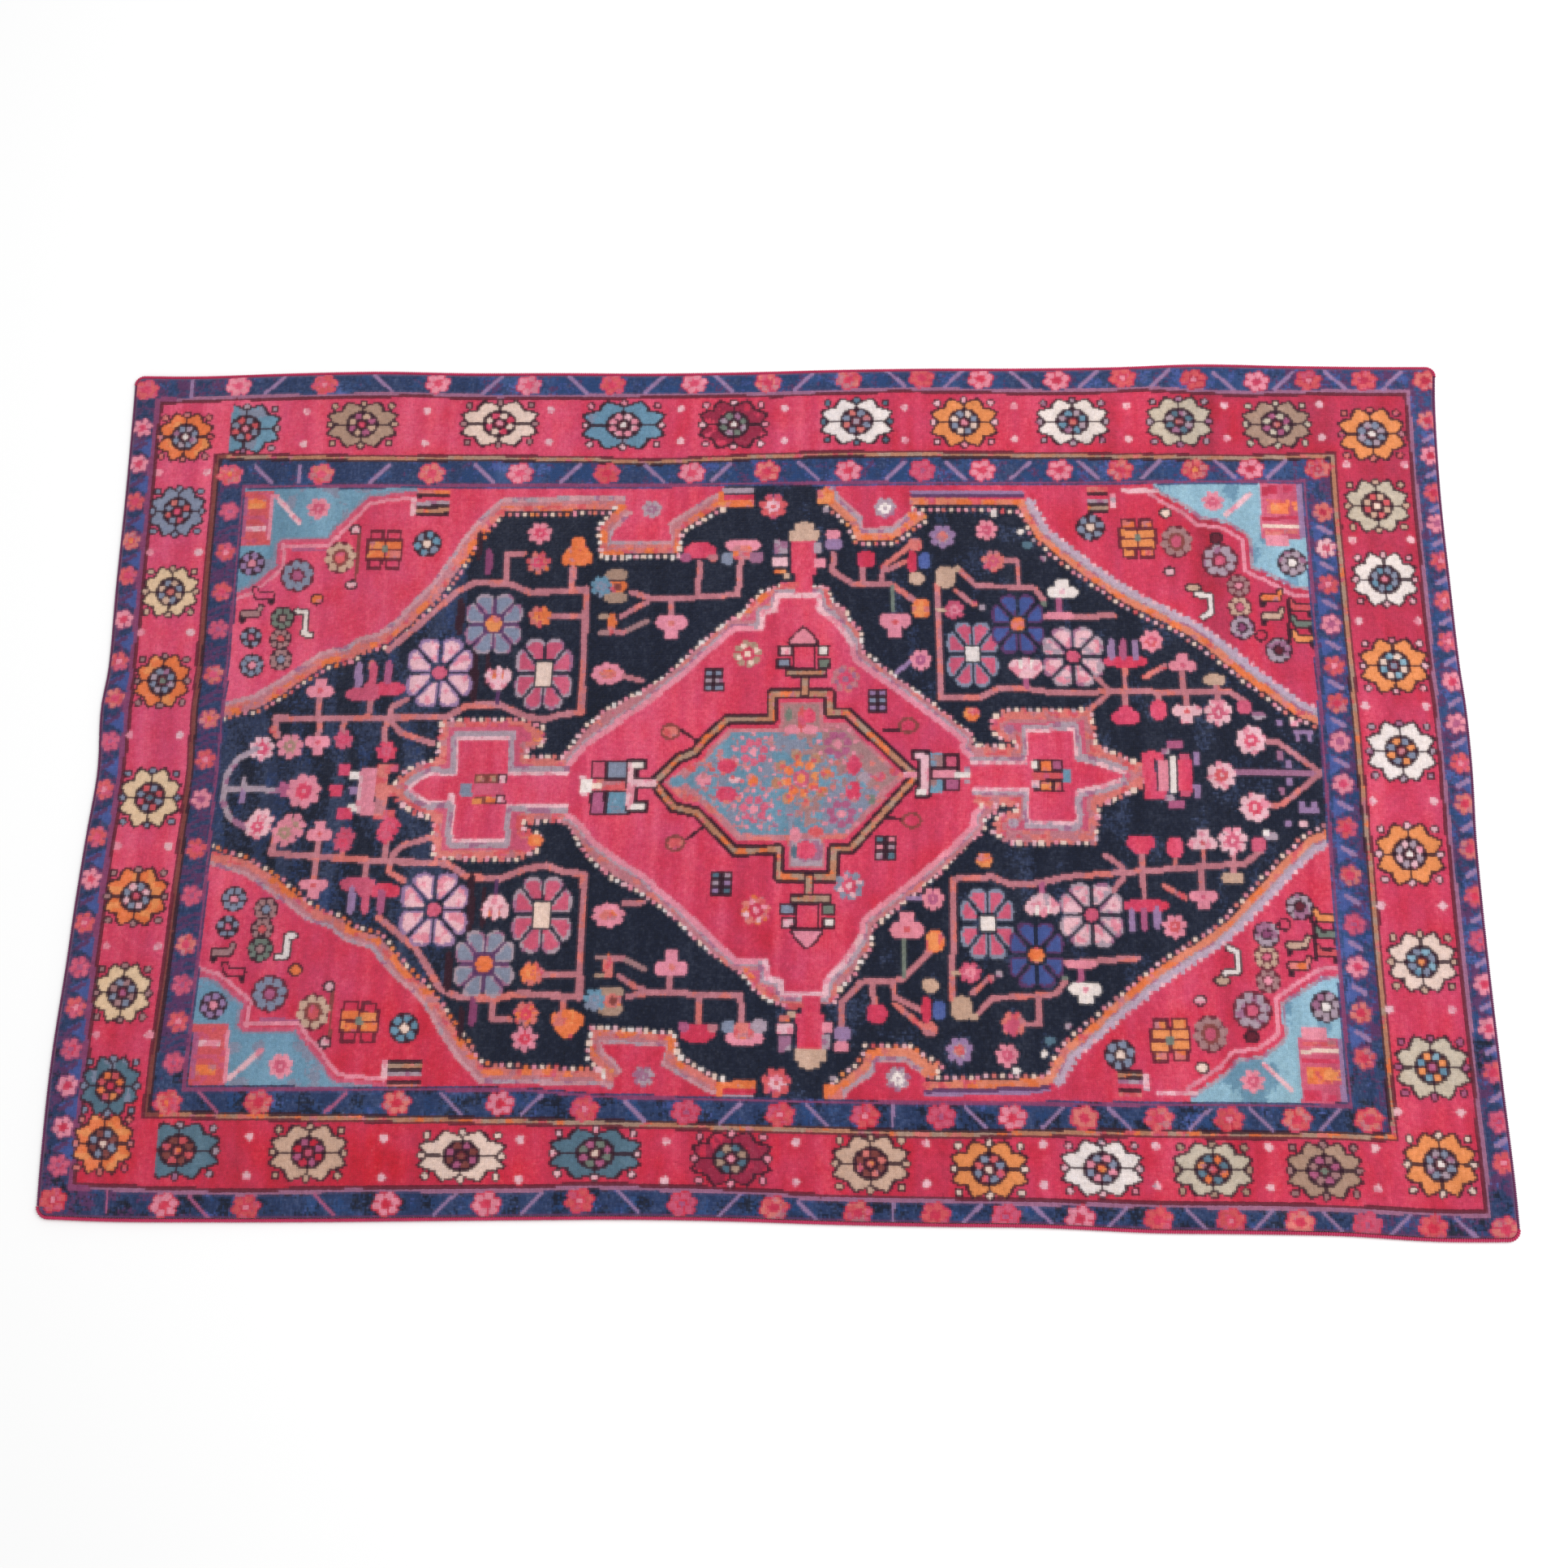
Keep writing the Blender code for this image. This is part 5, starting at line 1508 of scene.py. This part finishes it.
back_x, back_y = COLUMNS // BACK_STEP, ROWS // BACK_STEP
back_s, back_t = np.meshgrid(np.arange(back_x + 1) / back_x, np.arange(back_y + 1) / back_y)
place_x, place_y = on_rug(back_s, back_t, SIDE_CORD + GAP)
back = np.stack([place_x, place_y, np.full(back_s.shape, BACK_BOTTOM)], axis=-1)
foundation = slab("foundation", back, PILE_FOOT, woven_back())
picked_x = np.minimum((np.arange(back_x) + 0.5) / back_x * COLUMNS, COLUMNS - 1).astype(int)
picked_y = np.minimum((np.arange(back_y) + 0.5) / back_y * ROWS, ROWS - 1).astype(int)
back_colour = knot_colour[picked_y][:, picked_x].reshape(-1, 3) * BACK_SHADE
corners_left = len(foundation.data.loops) - 4 * len(back_colour)
edge_colour = np.tile(linear((150, 110, 110)), (corners_left, 1))
colour_corners(foundation.data, [np.repeat(back_colour, 4, axis=0), edge_colour])
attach(foundation, "root")
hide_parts("knotted_rug")


# ---- Selvedges and bound ends ---------------------------------------------------------------------
# Each long side is two thick warps overcast with crimson wool, and each short end is turned and
# bound with dark purple wool. The yarn goes round and round the cord, each turn close to the last.

STATION = 0.02             # m, step along the outline
ARC_STEPS = 7              # steps round a corner
YARN_LEAN = 0.32           # radians that each turn of yarn leans, and how much that varies
YARN_UNEVEN = 0.12
END_GAP = 0.0012           # m left free at each end of a cord


def steps(start, end):
    count = max(2, round(abs(end - start) / STATION))
    return [start + (end - start) * k / count for k in range(count + 1)]


def square_corner(end_column, side_column, near_x):
    """Where a short end and a long side would meet if the corner weren't rounded."""
    y = float(edge_at(LONG_SIDES, side_column, near_x))
    return float(edge_at(SHORT_ENDS, end_column, y)), y


def rounding(start, square, end):
    """Quarter turn inside the square corner, without its end points."""
    points = []
    for k in range(1, ARC_STEPS):
        angle = math.pi / 2 * k / ARC_STEPS
        from_start, from_end = 1 - math.sin(angle), 1 - math.cos(angle)
        points.append(tuple(
            square[c] + (start[c] - square[c]) * from_start + (end[c] - square[c]) * from_end
            for c in (0, 1)
        ))
    return points


def outline_runs():
    """The rug's edge, counterclockwise: near side, right end, far side, left end."""
    near_left = square_corner(LEFT, NEAR, -HALF_LENGTH)
    near_right = square_corner(RIGHT, NEAR, HALF_LENGTH)
    far_right = square_corner(RIGHT, FAR, HALF_LENGTH)
    far_left = square_corner(LEFT, FAR, -HALF_LENGTH)

    def side(column, start, end):
        return [(x, float(edge_at(LONG_SIDES, column, x))) for x in steps(start, end)]

    def short_end(column, start, end):
        return [(float(edge_at(SHORT_ENDS, column, y)), y) for y in steps(start, end)]

    def rounded(before, first_corner, run, last_corner, after):
        return ([before] + rounding(before, first_corner, run[0]) + run
                + rounding(run[-1], last_corner, after) + [after])

    near = side(NEAR, near_left[0] + CORNER, near_right[0] - CORNER)
    right = short_end(RIGHT, near_right[1] + CORNER, far_right[1] - CORNER)
    far = side(FAR, far_right[0] - CORNER, far_left[0] + CORNER)
    left = short_end(LEFT, far_left[1] - CORNER, near_left[1] + CORNER)
    near = rounded(left[-1], near_left, near, near_right, right[0])
    far = rounded(right[-1], far_right, far, far_left, left[0])
    return [[(x - ORIGIN[0], y - ORIGIN[1]) for x, y in run] for run in (near, right, far, left)]


def overcast_yarn(name, colour):
    """Plied wool yarn wound round the edge: fine twist, soft sheen, skeins that differ."""
    made, tree, place = new_wool(name, {
        "Roughness": 0.9, "Specular IOR Level": 0.15, "Sheen Weight": 0.25, "Sheen Roughness": 0.5})
    dyed = add_node(tree, "ShaderNodeMix", {
        "Factor": noise(tree, place, 24, 3), "A": (*(linear(colour) * 0.62), 1),
        "B": (*np.minimum(linear(colour) * 1.25, 0.95), 1)}, data_type="RGBA")
    finish_wool(tree, dyed["Result"], noise(tree, place, 1200, 3), 0.6, 0.0005)
    return made


def overcast_tree():
    """Winds yarn round a path: one slanting turn at every pitch, over a plain core."""
    tree = bpy.data.node_groups.new("overcast_edge", "GeometryNodeTree")
    tree.interface.new_socket("Geometry", in_out="OUTPUT", socket_type="NodeSocketGeometry")
    for name, kind, value in (
        ("Geometry", "Geometry", None), ("Pitch", "Float", 0.003), ("Width", "Float", 0.006),
        ("Height", "Float", 0.007), ("Yarn", "Float", 0.0016), ("Slant", "Float", 0.3),
        ("Unevenness", "Float", 0.1), ("Seed", "Int", 3), ("Material", "Material", None),
    ):
        socket = tree.interface.new_socket(name, in_out="INPUT", socket_type="NodeSocket" + kind)
        if value is not None:
            socket.default_value = value
    given = tree.nodes.new("NodeGroupInput").outputs

    def circle(count, radius):
        return add_node(tree, "GeometryNodeCurvePrimitiveCircle", {
            "Resolution": count, "Radius": radius})["Curve"]

    def ring(count, yarns_off):
        """An oval as wide and high as the cord, less so many thicknesses of yarn."""
        less = maths(tree, "MULTIPLY", given["Yarn"], yarns_off)
        size = add_node(tree, "ShaderNodeCombineXYZ", {
            "X": maths(tree, "SUBTRACT", given["Height"], less),
            "Y": maths(tree, "SUBTRACT", given["Width"], less), "Z": 1})["Vector"]
        return add_node(tree, "GeometryNodeTransform", {
            "Geometry": circle(count, 0.5), "Scale": size})["Geometry"]

    cord = add_node(tree, "GeometryNodeMeshToCurve", {"Mesh": given["Geometry"]})["Curve"]
    spaced = add_node(tree, "GeometryNodeResampleCurve", {
        "Curve": cord, "Length": given["Pitch"]}, mode="LENGTH")
    points = add_node(tree, "GeometryNodeCurveToPoints", {"Curve": spaced["Curve"]}, mode="EVALUATED")

    # One turn of yarn: an oval ring of nine short pieces with a four-sided section.
    section = circle(4, maths(tree, "MULTIPLY", given["Yarn"], 0.5))
    turn = add_node(tree, "GeometryNodeCurveToMesh", {
        "Curve": ring(9, 1), "Profile Curve": section})["Mesh"]

    # Every turn leans by the slant, and a little more or less than the last.
    more = add_node(tree, "ShaderNodeCombineXYZ", {
        "X": maths(tree, "MULTIPLY", given["Unevenness"], 0.5), "Y": given["Unevenness"]})["Vector"]
    less = vector_maths(tree, "SCALE", {0: more, "Scale": -1})
    uneven = add_node(tree, "FunctionNodeRandomValue", {
        "Min": less, "Max": more, "Seed": given["Seed"]}, data_type="FLOAT_VECTOR")["Value"]
    slant = add_node(tree, "ShaderNodeCombineXYZ", {"Y": given["Slant"]})["Vector"]
    lean = add_node(tree, "FunctionNodeEulerToRotation", {
        "Euler": vector_maths(tree, "ADD", {0: uneven, 1: slant})})["Rotation"]
    facing = add_node(tree, "FunctionNodeRotateRotation", {
        "Rotation": points["Rotation"], "Rotate By": lean}, rotation_space="LOCAL")["Rotation"]
    turns = add_node(tree, "GeometryNodeInstanceOnPoints", {
        "Points": points["Points"], "Instance": turn, "Rotation": facing})["Instances"]

    # The core is a plain oval tube just inside the turns.
    core = add_node(tree, "GeometryNodeCurveToMesh", {
        "Curve": cord, "Profile Curve": ring(10, 1.2), "Fill Caps": True})["Mesh"]
    joined = tree.nodes.new("GeometryNodeJoinGeometry")
    for strand in (turns, core):
        tree.links.new(strand, joined.inputs["Geometry"])
    real = add_node(tree, "GeometryNodeRealizeInstances", {"Geometry": joined.outputs["Geometry"]})
    finished = add_node(tree, "GeometryNodeSetMaterial", {
        "Geometry": real["Geometry"], "Material": given["Material"]})
    add_node(tree, "NodeGroupOutput", {"Geometry": finished["Geometry"]})
    return tree


def set_input(modifier, name, value):
    for item in modifier.node_group.interface.items_tree:
        if item.item_type == "SOCKET" and item.in_out == "INPUT" and item.name == name:
            modifier[item.identifier] = value


def centreline(run, before, after, inset, height):
    """The middle of the edge's cord, inset from its run of the outline and a little shorter."""
    points = []
    for k, (x, y) in enumerate(run):
        earlier = run[k - 1] if k else before
        later = run[k + 1] if k + 1 < len(run) else after
        dx, dy = later[0] - earlier[0], later[1] - earlier[1]
        length = math.hypot(dx, dy)
        points.append(Vector((x - dy / length * inset, y + dx / length * inset, height)))
    for end, next_to_end in ((0, 1), (-1, -2)):
        points[end] = points[end] + (points[next_to_end] - points[end]).normalized() * END_GAP
    return points


overcast = overcast_tree()
runs = outline_runs()
# slot, width, height, pitch of the turns, thickness of the yarn, wool
SIDE = ("selvedge", SIDE_CORD, 0.007, 0.0034, 0.002, overcast_yarn("crimson_yarn", (190, 45, 90)))
END = ("end_binding", 0.005, 0.006, 0.003, 0.0018, overcast_yarn("purple_yarn", (112, 48, 92)))
EDGES = (("selvedge_near", *SIDE), ("end_binding_right", *END),
         ("selvedge_far", *SIDE), ("end_binding_left", *END))
for k, (node, slot, width, height, pitch, yarn, made) in enumerate(EDGES):
    middle = centreline(runs[k], runs[k - 1][-2], runs[(k + 1) % 4][1], SIDE_CORD - width / 2, height / 2)
    guide_mesh = bpy.data.meshes.new(node + "_path")
    guide_mesh.from_pydata(middle, [(n, n + 1) for n in range(len(middle) - 1)], [])
    guide = bpy.data.objects.new(node + "_path", guide_mesh)
    bpy.context.collection.objects.link(guide)
    winding = guide.modifiers.new("overcast", "NODES")
    winding.node_group = overcast
    for name, value in (("Pitch", pitch), ("Width", width), ("Height", height), ("Yarn", yarn),
                        ("Slant", YARN_LEAN), ("Unevenness", YARN_UNEVEN), ("Seed", 3 + k),
                        ("Material", made)):
        set_input(winding, name, value)
    mesh = bpy.data.meshes.new_from_object(guide.evaluated_get(bpy.context.evaluated_depsgraph_get()))
    bpy.data.objects.remove(guide)
    bpy.data.meshes.remove(guide_mesh)
    mesh.name = node + "_yarn"
    mesh.shade_smooth()
    piece = bpy.data.objects.new(node + "_yarn", mesh)
    bpy.context.collection.objects.link(piece)
    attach(piece, "root")
    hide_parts(node)


# ---- Floor, light and camera ----------------------------------------------------------------------
# A plain near-white studio floor under soft even light, with the camera standing at the near long
# side and looking steeply down at the rug.

floor_material = bpy.data.materials.new("studio_floor")
floor_material.use_nodes = True
floor_shader = floor_material.node_tree.nodes["Principled BSDF"]
floor_shader.inputs["Base Color"].default_value = (0.93, 0.93, 0.93, 1)
floor_shader.inputs["Roughness"].default_value = 0.9
floor_shader.inputs["Specular IOR Level"].default_value = 0
floor = add_mesh("floor", [(-6, -6, 0), (6, -6, 0), (6, 6, 0), (-6, 6, 0)], [(0, 1, 2, 3)], floor_material)

world = bpy.data.worlds.new("soft_studio")
world.use_nodes = True
world.node_tree.nodes["Background"].inputs["Color"].default_value = (1, 1, 1, 1)
world.node_tree.nodes["Background"].inputs["Strength"].default_value = 0.8
bpy.context.scene.world = world

light = bpy.data.lights.new("key_light", "AREA")
light.shape = "SQUARE"
light.size = 2.8
light.energy = 105
lamp = bpy.data.objects.new("key_light", light)
lamp.location = (2.2, 1, 3.7)
lamp.rotation_euler = (-lamp.location).to_track_quat("-Z", "Y").to_euler()
bpy.context.collection.objects.link(lamp)

camera_data = bpy.data.cameras.new("camera")
camera_data.sensor_fit = "HORIZONTAL"
camera_data.sensor_width = 36
camera_data.lens = 36.4
camera = bpy.data.objects.new("camera", camera_data)
pan, tilt, roll = 0.157498, 0.238529, -0.151226
turned = Matrix.Rotation(pan, 4, "Z") @ Matrix.Rotation(tilt, 4, "X") @ Matrix.Rotation(roll, 4, "Z")
camera.matrix_world = Matrix.Translation((0.111999, -0.582364, 2.352514)) @ turned
bpy.context.collection.objects.link(camera)
bpy.context.scene.camera = camera
bpy.context.scene.view_settings.view_transform = "Standard"
